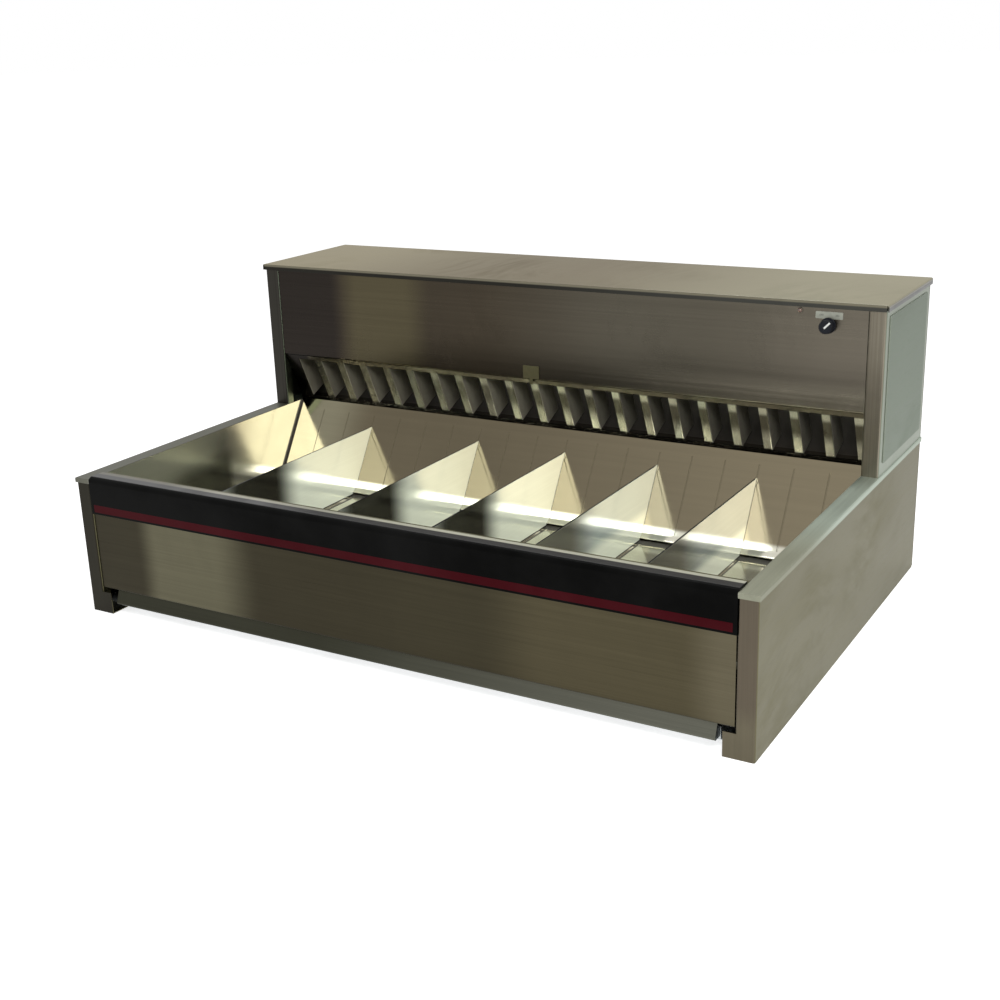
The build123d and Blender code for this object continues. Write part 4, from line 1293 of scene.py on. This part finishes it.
@dataclass
class AirSystem(SubAssembly):
    """Motor, fans and heater inside the housing."""

    def build(self) -> None:
        """Dresses the fans and the heater."""
        self.leave(GALVANISED, (*pair("blower_scroll"), "motor_bracket", "heater_brackets"))
        self.leave(WHEEL_ALUMINIUM, pair("blower_wheel"))
        self.leave(GROUND_STEEL, ("rotor_shaft",))
        self.leave(HEATER_SHEATH, ("heater_element",))
        self.leave(MOTOR_ENAMEL, ("blower_motor",))


@dataclass
class Fittings(SubAssembly):
    """Screws, terminal block and cord gland.

    The turns are those of the lowest screws left and right, in degrees, and each screw above is
    turned one step further.
    """

    head_radius: float = 4.0 * MM
    head_height: float = 2.2 * MM
    head_side: float = 1.1 * MM
    head_rises: Rises = ((0.55 * MM, 0.93), (0.35 * MM, 0.82), (0.2 * MM, 0.6))
    shank_radius: float = 1.9 * MM
    shank_length: float = 9.0 * MM
    recess_half_length: float = 2.4 * MM
    recess_half_width: float = 0.5 * MM
    recess_floor: float = 1.0 * MM
    turns: tuple[float, float] = (61.0, 72.0)
    turn_step: float = 29.0

    def build(self) -> None:
        """Models and dresses the fittings."""
        self.screws("back_panel_screws")
        self.screws("rear_cover_screws")
        self.shop.form(THERMOSET, ("terminal_block",), 0.3 * MM)
        self.shop.form(BLACK_NYLON, ("cord_gland",), 0.25 * MM)

    def screw(self) -> Model:
        """Models one pan-head screw with a cross recess, up the Z axis.

        Returns:
            The screw.
        """
        screw = Model.cylinder("screw", self.head_radius, 0.0, self.head_side, 32)
        screw.dome(10 * MM * MM, self.head_rises)
        screw.faces(looks(DOWN, 0.9), inset(self.head_radius - self.shank_radius), extrude(self.shank_length))
        reach, half, top = self.recess_half_length, self.recess_half_width, 1.2 * self.head_height
        for turn in (0.0, 90.0):
            arm = Model.block("arm", Vector((-reach, -half, self.recess_floor)), Vector((reach, half, top)))
            arm.face_towards((0, 0, 0), UP, turn)
            screw.cut(arm)
        screw.smooth(32.0)
        return screw

    def screws(self, node: str) -> None:
        """Puts a screw at each place in a group of them.

        Args:
            node: The group's node.
        """
        low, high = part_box(node)
        radius = self.head_radius
        seat = high.y - self.head_height
        heights = (low.z + radius, (low.z + high.z) / 2, high.z - radius)
        pattern = self.screw()
        copies = []
        for side, x, first in zip(("left", "right"), (low.x + radius, high.x - radius), self.turns):
            for row, z in enumerate(heights):
                copies.append(Model.copy_of(pattern.piece, f"screw_{side}_{row}"))
                copies[-1].face_towards((x, seat, z), REAR, first + self.turn_step * row)
        bpy.data.objects.remove(pattern.piece)
        joined, *others = copies
        joined.join(others)
        joined.piece.name = f"cross_{node}"
        joined.finish(SCREW_STEEL)
        self.shop.hand_over(joined, node)


# ---------------------------------------------------------------- studio
@dataclass(frozen=True)
class Softbox:
    """A large soft lamp that looks at a point."""

    name: str
    place: tuple[float, float, float]
    target: tuple[float, float, float]
    size: tuple[float, float]
    radiance: float

    def build(self) -> None:
        """Adds the lamp."""
        lamp = bpy.data.lights.new(self.name, "AREA")
        lamp.shape = "RECTANGLE"
        lamp.size, lamp.size_y = self.size
        lamp.energy = self.radiance * math.pi * self.size[0] * self.size[1]
        holder = bpy.data.objects.new(self.name, lamp)
        holder.location = self.place
        facing = Vector(self.target) - Vector(self.place)
        holder.rotation_euler = facing.to_track_quat("-Z", "Y").to_euler()
        bpy.context.scene.collection.objects.link(holder)


@dataclass(frozen=True)
class Studio:
    """Pale floor, white surroundings, soft lamps and the camera.

    The camera's turn is in degrees about X, Y and Z. The floor's lift is what it adds for an eye
    or a reflection, and the surroundings are the strength of the light from all round.
    """

    eye: tuple[float, float, float] = (0.98153, -1.68101, 0.78841)
    turn: tuple[float, float, float] = (71.46261, 1.81012, 29.98885)
    lens: float = 50.692
    sensor: float = 36.0
    floor_size: float = 60.0
    floor_tone: float = 0.80
    floor_lift: float = 0.66
    surroundings: float = 0.46
    lamps: tuple[Softbox, ...] = (
        Softbox("key_softbox", (1.43, -1.95, 2.12), (0.0, 0.0, 0.15), (1.3, 1.0), 12.0),
        Softbox("top_softbox", (0.0, 0.45, 2.70), (0.0, 0.0, 0.1), (2.6, 0.35), 7.0),
    )

    def build(self) -> None:
        """Sets up everything that isn't the warmer."""
        bpy.context.scene.view_settings.view_transform = "Standard"
        self.floor()
        self.world()
        for lamp in self.lamps:
            lamp.build()
        self.camera()

    def camera(self) -> None:
        """Places the camera."""
        data = bpy.data.cameras.new("camera")
        data.sensor_width = self.sensor
        data.lens = self.lens
        camera = bpy.data.objects.new("camera", data)
        camera.location = self.eye
        camera.rotation_euler = [math.radians(angle) for angle in self.turn]
        bpy.context.scene.collection.objects.link(camera)
        bpy.context.scene.camera = camera

    @staticmethod
    def seen(tree: Tree) -> Socket:
        """Adds the nodes that are 1 where an eye or a reflection sees the surroundings.

        Args:
            tree: The material's or world's tree.

        Returns:
            1 for a camera, glossy or transmission ray, otherwise 0.
        """
        path = tree.add("ShaderNodeLightPath").outputs
        either = tree.maths("MAXIMUM", path["Is Camera Ray"], path["Is Glossy Ray"])
        return tree.maths("MAXIMUM", either, path["Is Transmission Ray"])

    def floor(self) -> None:
        """Lays the pale floor."""
        floor = Model.start("floor", bpy.ops.mesh.primitive_plane_add, size=self.floor_size).piece
        made = bpy.data.materials.new("floor_paper")
        tree = Tree.of(made)
        paper = tree.add("ShaderNodeBsdfDiffuse", {"Color": colour((self.floor_tone,) * 3)})
        lift = tree.times(self.seen(tree), self.floor_lift)
        glow = tree.add("ShaderNodeEmission", {"Color": WHITE, "Strength": lift})
        both = tree.add("ShaderNodeAddShader", {0: paper.outputs[0], 1: glow.outputs[0]})
        tree.add("ShaderNodeOutputMaterial", {"Surface": both.outputs[0]})
        floor.data.materials.append(made)

    def world(self) -> None:
        """Makes the surroundings white to the eye and in reflections."""
        world = bpy.data.worlds.new("surroundings")
        tree = Tree.of(world)
        strength = tree.spread(self.seen(tree), 0.0, 1.0, self.surroundings, 1.0)
        light = tree.add("ShaderNodeBackground", {"Color": WHITE, "Strength": strength})
        tree.add("ShaderNodeOutputWorld", {"Surface": light.outputs[0]})
        bpy.context.scene.world = world


def main() -> None:
    """Builds the studio and the warmer."""
    logging.basicConfig(level=logging.INFO, format="%(message)s")
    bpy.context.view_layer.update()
    shop = Workshop(frame)
    Studio().build()
    for kind in (Base, Hopper, Housing, Controls, AirSystem, Fittings):
        kind(shop).build()
        log.info("built %s", kind.__name__)


if __name__ == "__main__":
    main()
